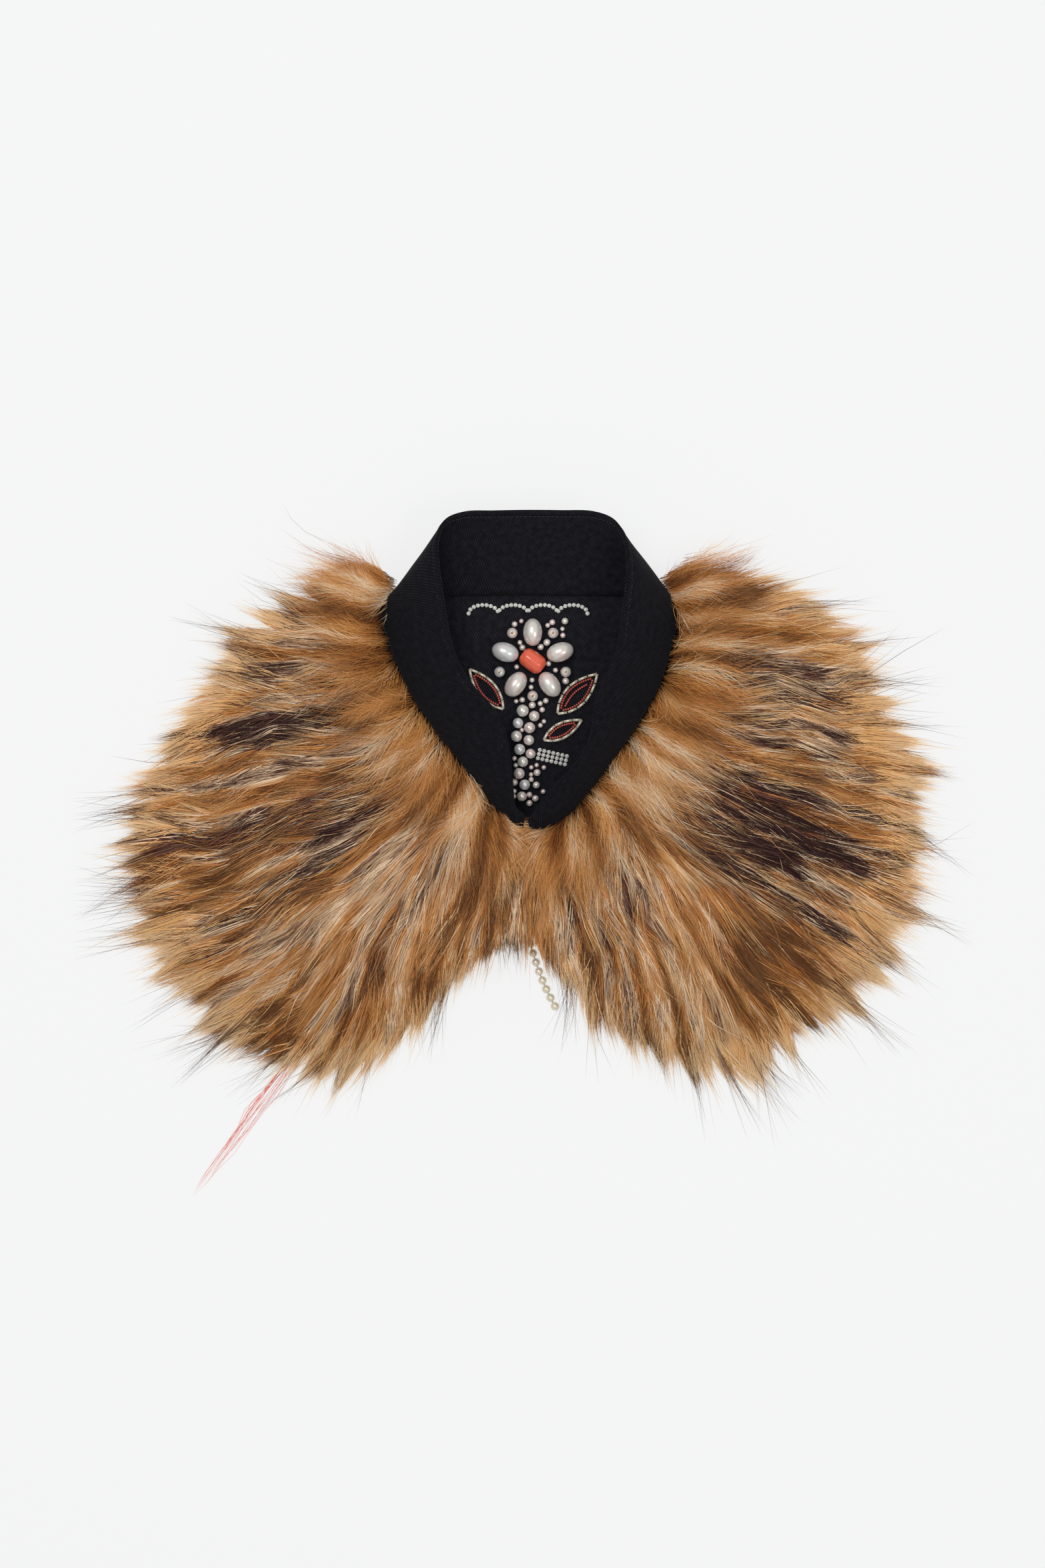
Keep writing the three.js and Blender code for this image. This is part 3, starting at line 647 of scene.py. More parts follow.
def shaken_grid(side, pitch, draw):
    xs = np.arange(0, 300, pitch)
    ys = np.arange(-300, 110, pitch * 0.866)
    grid = np.array([(x + (k % 2) * pitch / 2, y) for k, y in enumerate(ys) for x in xs])
    grid += draw.uniform(-0.45, 0.45, grid.shape) * pitch
    grid[:, 0] *= side
    return grid


def on_skin(places, reach, side, margin):
    """Which places lie on the skin, which ends short of the rim of the pile."""
    angle, radius = polar(places, side)
    near, far = reach.inner(angle) + 7 * np.exp(-((angle / 3) ** 2)), reach.outer(angle)
    skin_end = far - np.minimum(38, 0.5 * (far - near))
    return (angle > 0.3) & (angle < 126) & (radius > near + margin) & (radius < skin_end)


def nearest(places, centres):
    best = np.empty(len(places), int)
    for start in range(0, len(places), 4000):
        part = places[start : start + 4000]
        best[start : start + 4000] = ((part[:, None] - centres[None]) ** 2).sum(-1).argmin(1)
    return best


def trace(roots, comb, bend, length, steps=12):
    """Points of hairs combed from their roots, with a bend in degrees that grows along them."""
    place, path = roots.copy(), [roots.copy()]
    for step in range(steps):
        way = turned(comb.read(place), bend[0] + bend[1] * (step / steps))
        place = place + way * (length / steps)[:, None]
        path.append(place)
    return np.stack(path[:: steps // (HAIR_STOPS - 1)], axis=1)


class Tufts:
    """Pointed tufts along the rim of one front: where they are, how far they reach and how wispy they are."""

    def __init__(self, reach, draw, short_to, pitch=10.0):
        self.short_to = short_to
        angle, middles = 0.6, []
        while angle < 127:
            middles.append(angle)
            angle += math.degrees(pitch * draw.uniform(0.45, 1.7) / reach.outer(angle))
        self.middles = np.array(middles)
        swell = 4.5 * np.sin(self.middles / 127 * 2 * np.pi * 5 + draw.uniform(0, 6))
        self.reach = draw.normal(0, 5.0, len(middles)) + swell
        wispy = draw.random(len(middles)) < 0.42
        self.wisps = np.where(wispy, draw.uniform(0.7, 1.7, len(middles)), draw.uniform(0.0, 0.25, len(middles)))
        self.outer = reach.outer

    def owner(self, angle):
        place = np.clip(np.searchsorted(self.middles, angle), 1, len(self.middles) - 1)
        back = np.abs(angle - self.middles[place - 1]) < np.abs(angle - self.middles[place])
        return np.where(back, place - 1, place)

    def aside(self, angle):
        return np.radians(angle - self.middles[self.owner(angle)]) * self.outer(angle)

    def limit(self, angle):
        """The radius at which a hair that ends at this angle stops. The fronts are shorter where they meet."""
        shorter = 25 * np.exp(-((angle / self.short_to) ** 2))
        return self.outer(angle) + 3 - shorter + self.reach[self.owner(angle)] - 0.85 * np.abs(self.aside(angle))


def hair_pile(side_name, settings):
    """Paths, widths, kinds, tones with painted shade and rolls of every hair on one front."""
    side = SIDES[side_name]
    draw = np.random.default_rng(settings.seed + (side > 0) * 100)
    relief = Relief(FRONTS[side_name])
    reach = Reach(relief.points, side)
    comb = Comb(side_name)
    tufts = Tufts(reach, draw, SHORT_TO[side_name])
    total = settings.hairs_per_side

    centres = shaken_grid(side, settings.lock_pitch, draw)
    centres = centres[on_skin(centres, reach, side, 1.5)]
    locks = len(centres)
    bundles = shaken_grid(side, 2.6 * settings.lock_pitch, draw)
    bundle = nearest(centres, bundles)
    roots = np.stack([side * draw.uniform(0, 300, 9 * total), draw.uniform(-300, 110, 9 * total)], -1)
    roots = roots[on_skin(roots, reach, side, 0.8)][:total]
    total = len(roots)
    owner = nearest(roots, centres)

    angle, radius = polar(centres, side)
    by_seam = np.exp(-(radius - reach.inner(angle)) / 10.0)
    by_front = np.exp(-np.abs(centres[:, 0]) / 12.0)
    lean = 8.0 * ripple(centres, 34, settings.seed + 3) + draw.normal(0, 3.0, locks)
    lean += draw.normal(0, 22, locks) * by_seam + (draw.normal(0, 7, locks) - side * 5) * by_front
    lean += side * (4 + np.abs(draw.normal(0, 9, locks))) * smooth_step(104, 126, angle)
    lean += draw.normal(0, 5.0, len(bundles))[bundle]
    curl = 9 * ripple(centres, 26, settings.seed + 4) + draw.normal(0, 4, locks)
    curl += draw.normal(0, 6.0, len(bundles))[bundle]
    long = settings.pile_length * draw.uniform(0.90, 1.12, locks) * (1 - 0.45 * by_seam) * (1 - 0.3 * smooth_step(112, 124, angle))
    guides = trace(centres, comb, (lean, curl), long)
    loose = draw.random(total) < 0.06
    own_lean = lean[owner] + draw.normal(0, 1, total) * np.where(loose, 8, 1.1)
    own_curl = curl[owner] + draw.normal(0, 1, total) * np.where(loose, 14, 2.5)
    plan = trace(roots, comb, (own_lean, own_curl), long[owner] * draw.uniform(0.86, 1.06, total))

    gather = np.where(loose, 0.08, draw.uniform(0.35, 1.0, total))
    closing = gather[:, None] * np.array([0, 0.12, 0.32, 0.52])
    plan += (guides[owner] - plan) * closing[..., None]
    pull_to_tufts(plan, tufts, side, draw)
    wisp = cut_at_rim(plan, tufts, side, draw)
    keep_out(plan, reach, side)

    lower = draw.gamma(1.3, 0.9, locks) + draw.uniform(0, 2.2, len(bundles))[bundle]
    apart = np.linalg.norm(roots - centres[owner], axis=1) / settings.lock_pitch
    depth = draw.gamma(1.2, 1.5, total) + lower[owner] + 2.0 * apart**2
    depth = np.where(wisp | loose, depth * 0.5, depth)
    # Hairs deeper in the pile and hairs on the lower lobes get darker values: painted shade, over a random tone.
    low = smooth_step(100, 200, -roots[:, 1])
    tones_and_painted_shade = np.clip(0.80 - 0.080 * depth - 0.35 * low + draw.normal(0, 0.09, total), 0, 1)
    top = relief.read(relief.top, plan) - 0.6
    root = np.minimum(relief.read(relief.under, plan[:, 0]) + 3.0, top[:, 0] - 4)
    height = root[:, None] + (top - root[:, None]) * np.array([0.0, 0.70, 0.97, 1.0])
    height[:, 1:] -= depth[:, None] * np.array([0.7, 1.0, 0.85])
    height[:, 2] += 1.0 * ripple(plan[:, 2], 10, settings.seed + 21)
    height = np.maximum(height, draw.uniform(0.8, 3.6, (total, 1)))
    paths = np.concatenate([plan, height[..., None]], axis=2)

    fine = np.where(wisp, 0.62, 1.0) * (1 - 0.4 * by_seam[owner]) * draw.uniform(0.7, 1.25, total)
    widths = settings.hair_width * fine[:, None] * np.array([0.9, 1.0, 0.72])
    own_tone = draw.normal(0, 0.07, len(bundles))[bundle][owner]
    kinds = hair_kinds(plan, roots, comb, reach, side, wisp, own_tone, draw)
    return paths, widths, kinds, tones_and_painted_shade, draw.normal(0, 0.55, total)


def pull_to_tufts(plan, tufts, side, draw):
    """Draws the outer ends of hairs near the rim together into tufts."""
    for stop, strength in ((2, 0.22), (3, 0.60)):
        angle, radius = polar(plan[:, stop], side)
        angle = np.clip(angle, 0, 127)
        nearness = smooth_step(-46, -4, radius - tufts.outer(angle))
        pull = nearness * strength * draw.uniform(0.35, 1.0, len(plan))
        turn = np.radians(angle - np.degrees(tufts.aside(angle) / tufts.outer(angle)) * pull)
        plan[:, stop] = np.stack([side * radius * np.sin(turn), -radius * np.cos(turn)], -1)


def cut_at_rim(plan, tufts, side, draw):
    """Shortens hairs that would pass the tufts' outline, lets some wisps out, and says which they are."""
    total = len(plan)
    angle, radius = polar(plan[:, 3], side)
    angle = np.clip(angle, 0, 127)
    start = polar(plan[:, 0], side)[1]
    tuft = tufts.owner(angle)
    limit = tufts.limit(angle)
    ends_out = radius > limit - 12
    chance = draw.random(total)
    wisp = ends_out & (chance < 0.030 * tufts.wisps[tuft]) & (angle < 119)
    feather = ends_out & ~wisp & (chance > 0.72)
    beyond = -draw.gamma(1.2, 5.2, total)
    beyond = np.where(feather, draw.gamma(1.3, 4.5, total) - 3, beyond)
    beyond = np.where(wisp, draw.uniform(6, 44, total) * np.clip(tufts.wisps[tuft], 0.4, 1.0), beyond)
    share = (limit + beyond - start) / np.maximum(radius - start, 1)
    share = np.clip(share, 0.25, np.where(wisp, 2.0, np.where(feather, 1.35, 1.0)))
    at = share[:, None] * np.arange(HAIR_STOPS)[None]
    low = np.clip(at.astype(int), 0, HAIR_STOPS - 2)
    rows = np.arange(total)[:, None]
    part = (at - low)[..., None]
    plan[:] = plan[rows, low] * (1 - part) + plan[rows, low + 1] * part
    plan[wisp, 2:] += draw.normal(0, 1, (int(wisp.sum()), 1, 2)) * np.array([1.0, 3.6])[:, None]
    plan[..., 0] = np.clip(plan[..., 0], *RIM_LIMIT)
    return wisp


def keep_out(plan, reach, side):
    """Pushes hairs out of the stand's foot."""
    angle, radius = polar(plan, side)
    least = reach.inner(np.clip(angle, 0, 127)) + 0.6
    grow = np.where((radius < least) & (angle < 128), least / np.maximum(radius, 1), 1)
    plan *= grow[..., None]


def hair_kinds(plan, roots, comb, reach, side, wisp, own_tone, draw):
    """The kind of each hair: by streaks that run with the comb, the dark places, the rim, whose pale kind is partly a
    painted glow, and the seam.
    """
    total = len(plan)
    middle = plan[:, 2]
    thin = comb.streaked(middle, 2.8, draw)
    fine = comb.streaked(middle, 6.0, draw, 15, 8.0)
    broad = comb.streaked(middle, 16.0, draw, 9, 18.0)
    tone = 0.16 * thin + 0.56 * fine + 0.28 * broad + own_tone
    tone = np.argsort(np.argsort(tone)) / total
    tone = tone + draw.normal(0, 0.075, total) + 0.12 * smooth_step(110, 200, -middle[:, 1])
    dark = comb.darkness(middle) * (0.5 + 1.1 * comb.streaked(middle, 4.4, draw, 15, 8.0))
    darkened = draw.random(total) < 0.84 * np.minimum(1, dark)
    tone = np.where(darkened, tone * draw.uniform(0.0, 1.0, total) * (0.30 - 0.14 * np.minimum(1, dark)), tone)
    edges = np.cumsum([kind["share"] for kind in HAIR_KINDS])
    kinds = np.searchsorted(edges / edges[-1], np.clip(tone, 0, 0.999))
    angle, radius = polar(roots, side)
    seam = np.exp(-(radius - reach.inner(np.clip(angle, 0, 127))) / 9.0)
    tanned = draw.random(total) < 0.60 * seam
    pool = [KIND["golden"], KIND["russet"], KIND["brown"], KIND["cream"]]
    kinds = np.where(tanned, draw.choice(pool, total, p=[0.46, 0.24, 0.12, 0.18]), kinds)
    # Hairs that end near the rim turn to the pale halo kind: pale tips, with a painted glow of light through the thin
    # hair.
    angle, radius = polar(plan[:, 3], side)
    rim = smooth_step(-20, 2, radius - reach.outer(np.clip(angle, 0, 127)))
    pale_and_glow = comb.streaked(plan[:, 3], 4.0, draw) + draw.normal(0, 0.08, total) < 0.76 * rim
    kinds = np.where(pale_and_glow, KIND["halo"], kinds)
    return np.where(wisp, np.where(draw.random(total) < 0.72, KIND["tipped"], KIND["dark"]), kinds)


def neck_fuzz(side_name, settings):
    """Fine messy hairs where the pile meets the stand."""
    side = SIDES[side_name]
    draw = np.random.default_rng(settings.seed + 700 + side)
    relief = Relief(FRONTS[side_name])
    comb = Comb(side_name)
    out, base = stand_middle(240, np.array([0.0, 1.0]))[1:3]
    keep = (side * base[:, 0] > 6) & ((base[:, 1] < 47) | (side * base[:, 0] > 79))
    base, away = base[keep], unit(out[keep, :2])
    total = settings.fuzz_per_side
    pick = draw.integers(0, len(base), total)
    off = np.abs(draw.normal(0, 15, total)) + 0.4
    roots = base[pick, :2] + away[pick] * off[:, None] + draw.normal(0, 1.0, (total, 2))
    near = np.exp(-off / 11)
    swirl = (42 * ripple(roots, 18, settings.seed + 60) - side * 34) * (0.25 + 0.75 * near)
    heading = turned(comb.read(roots), swirl + draw.normal(0, 1, total) * (6 + 12 * near))
    length = draw.uniform(22, 44, total) * (1 - 0.3 * near)
    curl = draw.normal(0, 1, total) * (4 + 9 * near) + 8 * ripple(roots, 14, settings.seed + 61) + side * 12 * near
    place, plan = roots.copy(), [roots.copy()]
    for step in range(1, HAIR_STOPS):
        place = place + turned(heading, curl * (step - 1)) * (length / (HAIR_STOPS - 1))[:, None]
        plan.append(place)
    plan = np.stack(plan, axis=1)
    ground = relief.read(relief.top, plan)
    height = ground + draw.uniform(-1.2, 1.8, total)[:, None] * np.array([0, 0.8, 1.0, 0.8])
    height[:, 0] = ground[:, 0] - 4.0
    paths = np.concatenate([plan, height[..., None]], axis=2)
    widths = settings.hair_width * 0.40 * draw.uniform(0.7, 1.2, total)[:, None] * np.array([0.9, 1, 0.8])
    tone = comb.streaked(plan[:, 1], 7.0, draw) + draw.normal(0, 0.12, total)
    pool = np.array([KIND[name] for name in ("brown", "russet", "golden", "halo", "cream")])
    kinds = pool[np.searchsorted([0.12, 0.34, 0.74, 0.88], tone)]
    tones_and_painted_shade = np.clip(0.6 + 0.3 * ripple(roots, 14, settings.seed + 62) + draw.normal(0, 0.15, total), 0, 1)
    mesh = hair_mesh(f"fur_fuzz_{side_name}", paths, widths, kinds, tones_and_painted_shade, draw.normal(0, 0.6, total))
    add_piece(f"fur_fuzz_{side_name}", mesh, hair_materials(), [FRONTS[side_name]])


# Shader groups and materials

def link_or_set(tree, socket, value):
    if isinstance(value, bpy.types.NodeSocket):
        tree.links.new(value, socket)
    elif hasattr(value, "__len__") and len(value) == 3 and socket.type == "RGBA":
        socket.default_value = (*value, 1)
    else:
        socket.default_value = value


def add_node(tree, kind, inputs=None, **options):
    made = tree.nodes.new(kind)
    for option, value in options.items():
        setattr(made, option, value)
    for name, value in (inputs or {}).items():
        link_or_set(tree, made.inputs[name], value)
    return made


def math_node(tree, operation, a, b=0.0, c=0.0):
    return add_node(tree, "ShaderNodeMath", {0: a, 1: b, 2: c}, operation=operation).outputs[0]


def mix_colour(tree, factor, a, b, blend="MIX"):
    made = add_node(tree, "ShaderNodeMix", data_type="RGBA", blend_type=blend)
    link_or_set(tree, made.inputs[0], factor)
    link_or_set(tree, made.inputs[6], a)
    link_or_set(tree, made.inputs[7], b)
    return made.outputs[2]


def smooth_share(tree, value, low, high):
    made = add_node(tree, "ShaderNodeMapRange", interpolation_type="SMOOTHSTEP")
    link_or_set(tree, made.inputs["Value"], value)
    made.inputs["From Min"].default_value = low
    made.inputs["From Max"].default_value = high
    return made.outputs["Result"]


def new_group(name, inputs, outputs):
    """An empty shader group with named sockets. inputs is {name: (kind, default)}."""
    group = bpy.data.node_groups.new(name, "ShaderNodeTree")
    for title, (kind, default) in inputs.items():
        socket = group.interface.new_socket(name=title, in_out="INPUT", socket_type=kind)
        if default is not None:
            socket.default_value = default
    for title, kind in outputs.items():
        group.interface.new_socket(name=title, in_out="OUTPUT", socket_type=kind)
    return group, group.nodes.new("NodeGroupInput").outputs, group.nodes.new("NodeGroupOutput").inputs


def dyed_hair_group():
    """Colour of a hair along its length, from its chart: V runs from root to tip and U sets its tone, which carries
    painted shade.
    """
    name = "Dyed hair"
    if name in bpy.data.node_groups:
        return bpy.data.node_groups[name]
    group, given, out = new_group(
        name,
        {
            "Chart": ("NodeSocketVector", None),
            "Root": ("NodeSocketColor", (0.2, 0.1, 0.05, 1)),
            "Middle": ("NodeSocketColor", (0.5, 0.3, 0.1, 1)),
            "Tip": ("NodeSocketColor", (0.6, 0.4, 0.2, 1)),
            "Tone and painted shade": ("NodeSocketFloat", 0.3),
        },
        {"Colour": "NodeSocketColor", "Roughness": "NodeSocketFloat"},
    )
    spot = add_node(group, "ShaderNodeSeparateXYZ", {0: given["Chart"]}).outputs
    low = mix_colour(group, smooth_share(group, spot[1], 0.03, 0.28), given["Root"], given["Middle"])
    full = mix_colour(group, smooth_share(group, spot[1], 0.60, 0.97), low, given["Tip"])
    shade = math_node(group, "FRACT", math_node(group, "MULTIPLY", spot[0], float(len(HAIR_KINDS))))
    swing = math_node(group, "MULTIPLY", math_node(group, "SUBTRACT", shade, 0.5), given["Tone and painted shade"])
    value = math_node(group, "ADD", swing, 1.0)
    hue = math_node(group, "MULTIPLY_ADD", math_node(group, "SINE", math_node(group, "MULTIPLY", shade, 23.0)), 0.007, 0.5)
    tinted = add_node(group, "ShaderNodeHueSaturation", {"Hue": hue, "Value": value, "Color": full})
    group.links.new(tinted.outputs[0], out["Colour"])
    group.links.new(math_node(group, "MULTIPLY_ADD", shade, 0.16, 0.38), out["Roughness"])
    return group


def twill_group():
    """Colour, roughness and height of a twill, from a place on the cloth in metres. The colour lightens on the raised
    lines as a painted highlight, in patches.
    """
    name = "Twill"
    if name in bpy.data.node_groups:
        return bpy.data.node_groups[name]
    group, given, out = new_group(
        name,
        {
            "Place": ("NodeSocketVector", None),
            "Ground": ("NodeSocketColor", (0.01, 0.01, 0.01, 1)),
            "Wale highlight": ("NodeSocketColor", (0.03, 0.03, 0.03, 1)),
            "Pitch": ("NodeSocketFloat", 0.0013),
            "Lean": ("NodeSocketFloat", 1.9),
        },
        {"Colour": "NodeSocketColor", "Roughness": "NodeSocketFloat", "Height": "NodeSocketFloat"},
    )
    spun = add_node(group, "ShaderNodeVectorRotate", {"Vector": given["Place"], "Angle": given["Lean"]}, rotation_type="Z_AXIS")
    axis = add_node(group, "ShaderNodeSeparateXYZ", {0: spun.outputs[0]}).outputs
    wave = math_node(group, "SINE", math_node(group, "MULTIPLY", math_node(group, "DIVIDE", axis[1], given["Pitch"]), 2 * math.pi))
    yarn = math_node(group, "SINE", math_node(group, "MULTIPLY", math_node(group, "DIVIDE", axis[0], given["Pitch"]), 5 * math.pi))
    line = smooth_share(group, wave, -0.7, 0.9)
    weave = math_node(group, "MULTIPLY_ADD", yarn, 0.12, line)
    # The raised lines are lightened in patches: a painted highlight.
    highlight_patches = add_node(group, "ShaderNodeTexNoise", {"Vector": given["Place"], "Scale": 260.0, "Detail": 3.0})
    wale_highlight_amount = math_node(group, "MULTIPLY", weave, smooth_share(group, highlight_patches.outputs[0], 0.25, 0.75))
    group.links.new(mix_colour(group, wale_highlight_amount, given["Ground"], given["Wale highlight"]), out["Colour"])
    group.links.new(math_node(group, "MULTIPLY_ADD", weave, -0.12, 0.86), out["Roughness"])
    group.links.new(weave, out["Height"])
    return group


def new_material(name):
    material = bpy.data.materials.new(name)
    material.use_nodes = True
    tree = material.node_tree
    return material, tree, tree.nodes["Principled BSDF"]


def put_group(tree, group, inputs):
    made = tree.nodes.new("ShaderNodeGroup")
    made.node_tree = group
    for name, value in inputs.items():
        link_or_set(tree, made.inputs[name], value)
    return made.outputs


def map_place(tree, name):
    return add_node(tree, "ShaderNodeUVMap", uv_map=name).outputs[0]


def bump(tree, shader, height, distance, strength=1.0):
    made = add_node(tree, "ShaderNodeBump", {"Strength": strength, "Distance": distance, "Height": height})
    tree.links.new(made.outputs[0], shader.inputs["Normal"])


def hair_materials():
    made = []
    for kind in HAIR_KINDS:
        title = f"hair_{kind['name']}"
        if title in bpy.data.materials:
            made.append(bpy.data.materials[title])
            continue
        material, tree, shader = new_material(title)
        dyed = put_group(tree, dyed_hair_group(), {
            "Chart": map_place(tree, "Hair"),
            "Root": srgb(*kind["root"]),
            "Middle": srgb(*kind["middle"]),
            "Tip": srgb(*kind["tip"]),
            "Tone and painted shade": 0.36,
        })
        tree.links.new(dyed["Colour"], shader.inputs["Base Color"])
        tree.links.new(dyed["Roughness"], shader.inputs["Roughness"])
        shader.inputs["Specular IOR Level"].default_value = 0.17
        made.append(material)
    return made


def backing_and_gap_shade_material():
    """The knitted back of the fur and the short underfur that shows between the locks: browns darker than the hair,
    partly the underfur's colour and partly painted shade in the gaps.
    """
    title = "fur_backing"
    if title in bpy.data.materials:
        return bpy.data.materials[title]
    material, tree, shader = new_material(title)
    place = add_node(tree, "ShaderNodeTexCoord").outputs["Object"]
    fluff = add_node(tree, "ShaderNodeTexNoise", {"Vector": place, "Scale": 420.0, "Detail": 4.0})
    patch = add_node(tree, "ShaderNodeTexNoise", {"Vector": place, "Scale": 26.0, "Detail": 2.0})
    mixed = mix_colour(tree, fluff.outputs[0], srgb(0.30, 0.18, 0.10), srgb(0.62, 0.42, 0.24))
    shade = mix_colour(tree, smooth_share(tree, patch.outputs[0], 0.35, 0.7), mixed, srgb(0.40, 0.26, 0.16))
    tree.links.new(shade, shader.inputs["Base Color"])
    shader.inputs["Roughness"].default_value = 0.95
    bump(tree, shader, fluff.outputs[0], 0.001)
    return material


# tone above 1 makes a lighter copy of the same twill: painted light.
def twill_material(name, settings, lean, tone=1.0):
    if name in bpy.data.materials:
        return bpy.data.materials[name]
    material, tree, shader = new_material(name)
    weave = put_group(tree, twill_group(), {
        "Place": map_place(tree, "Cloth"),
        "Ground": tuple(tone * part for part in settings.twill),
        "Wale highlight": tuple(tone * part for part in settings.wale_highlight),
        "Pitch": settings.wale_pitch * MM,
        "Lean": math.radians(lean),
    })
    tree.links.new(weave["Colour"], shader.inputs["Base Color"])
    tree.links.new(weave["Roughness"], shader.inputs["Roughness"])
    shader.inputs["Specular IOR Level"].default_value = 0.07
    shader.inputs["Sheen Weight"].default_value = 0.035
    shader.inputs["Sheen Roughness"].default_value = 0.4
    bump(tree, shader, weave["Height"], 0.00022, 0.8)
    return material


def thread_material(name, colour, roughness=0.6):
    if name in bpy.data.materials:
        return bpy.data.materials[name]
    material, tree, shader = new_material(name)
    place = add_node(tree, "ShaderNodeTexCoord").outputs["Object"]
    twist = add_node(tree, "ShaderNodeTexNoise", {"Vector": place, "Scale": 900.0, "Detail": 2.0})
    darker = tuple(0.72 * part for part in colour)
    tree.links.new(mix_colour(tree, twist.outputs[0], darker, tuple(colour)), shader.inputs["Base Color"])
    shader.inputs["Roughness"].default_value = roughness
    return material


def pearl_material(name, colour, rose):
    """Imitation pearl: a soft satin body that turns a little pink or green in clouds, under a clear coat."""
    if name in bpy.data.materials:
        return bpy.data.materials[name]
    material, tree, shader = new_material(name)
    place = add_node(tree, "ShaderNodeTexCoord").outputs["Object"]
    cloud = add_node(tree, "ShaderNodeTexNoise", {"Vector": place, "Scale": 95.0, "Detail": 2.0})
    tint = mix_colour(tree, smooth_share(tree, cloud.outputs[0], 0.35, 0.65), tuple(colour), rose)
    tree.links.new(tint, shader.inputs["Base Color"])
    shader.inputs["Roughness"].default_value = 0.26
    shader.inputs["Specular IOR Level"].default_value = 0.6
    shader.inputs["Coat Weight"].default_value = 0.7
    shader.inputs["Coat Roughness"].default_value = 0.07
    shader.inputs["Metallic"].default_value = 0.28
    return material


def plain_bead_material(name, colour, roughness, metallic=0.0, coat=0.0):
    """Glass, metal or resin of small beads, a little uneven in tone."""
    if name in bpy.data.materials:
        return bpy.data.materials[name]
    material, tree, shader = new_material(name)
    place = add_node(tree, "ShaderNodeTexCoord").outputs["Object"]
    uneven = add_node(tree, "ShaderNodeTexNoise", {"Vector": place, "Scale": 240.0, "Detail": 1.0})
    darker = tuple(0.80 * part for part in colour)
    tree.links.new(mix_colour(tree, uneven.outputs[0], darker, tuple(colour)), shader.inputs["Base Color"])
    shader.inputs["Roughness"].default_value = roughness
    shader.inputs["Metallic"].default_value = metallic
    shader.inputs["Coat Weight"].default_value = coat
    shader.inputs["Coat Roughness"].default_value = 0.05
    return material


# The pieces

def polar_sheet(relief, reach, side, inset, low, high, stations=84, rows=22):
    """A closed skin over one front's underside, between two heights above it."""
    angles = np.linspace(0.4, 121, stations)
    near = reach.inner(angles) + 1.0
    far = reach.outer(angles)
    end = far - np.minimum(inset, 0.46 * (far - near))
    share = np.linspace(0, 1, rows)
    radius = near[:, None] + (end - near)[:, None] * share[None]
    turn = np.radians(angles)[:, None]
    plan = np.stack([side * radius * np.sin(turn), -radius * np.cos(turn)], -1)
    under = relief.read(relief.under, plan)
    top = np.concatenate([plan, (under + high)[..., None]], axis=2)
    bottom = np.concatenate([plan, (under + low)[..., None]], axis=2)
    return top, bottom


def build_front(side_name, settings):
    side = SIDES[side_name]
    node = FRONTS[side_name]
    relief = Relief(node)
    reach = Reach(relief.points, side)
    top, bottom = polar_sheet(relief, reach, side, 36, 0.7, 2.9)
    skin = add_piece(
        f"fur_skin_{side_name}",
        make_mesh(f"fur_skin_{side_name}", *closed_grid(top, bottom)),
        [backing_and_gap_shade_material()],
        [node],
    )
    plump(side_name, relief, reach, side, node)
    paths, widths, kinds, tones_and_painted_shade, rolls = hair_pile(side_name, settings)
    lower = paths[:, 0, 1] < np.median(paths[:, 0, 1])
    for part, chosen in (("upper", ~lower), ("lower", lower)):
        title = f"fur_pile_{side_name}_{part}"
        mesh = hair_mesh(title, paths[chosen], widths[chosen], kinds[chosen], tones_and_painted_shade[chosen], rolls[chosen])
        add_piece(title, mesh, hair_materials(), [node])
    neck_fuzz(side_name, settings)


def plump(side_name, relief, reach, side, node):
    """The short dense underfur that fills the pile's depth below the long hair, a dark sheet that also stands in for
    the shade down in the pile.
    """
    top, bottom = polar_sheet(relief, reach, side, 30, 3.3, 3.4)
    tops = relief.read(relief.top, top[..., :2])
    edge = np.minimum(1, np.minimum(np.arange(top.shape[0])[:, None], np.arange(top.shape[0])[::-1][:, None]) / 3)
    rim = np.minimum(1, np.minimum(np.arange(top.shape[1])[None], np.arange(top.shape[1])[::-1][None]) / 3)
    depth = np.maximum(tops - 14 - bottom[..., 2], 0.6) * np.clip(edge * rim, 0.08, 1)
    top[..., 2] = bottom[..., 2] + depth
    title = f"fur_under_{side_name}"
    mesh = make_mesh(title, *closed_grid(top, bottom))
    add_piece(title, mesh, [backing_and_gap_shade_material()], [node])


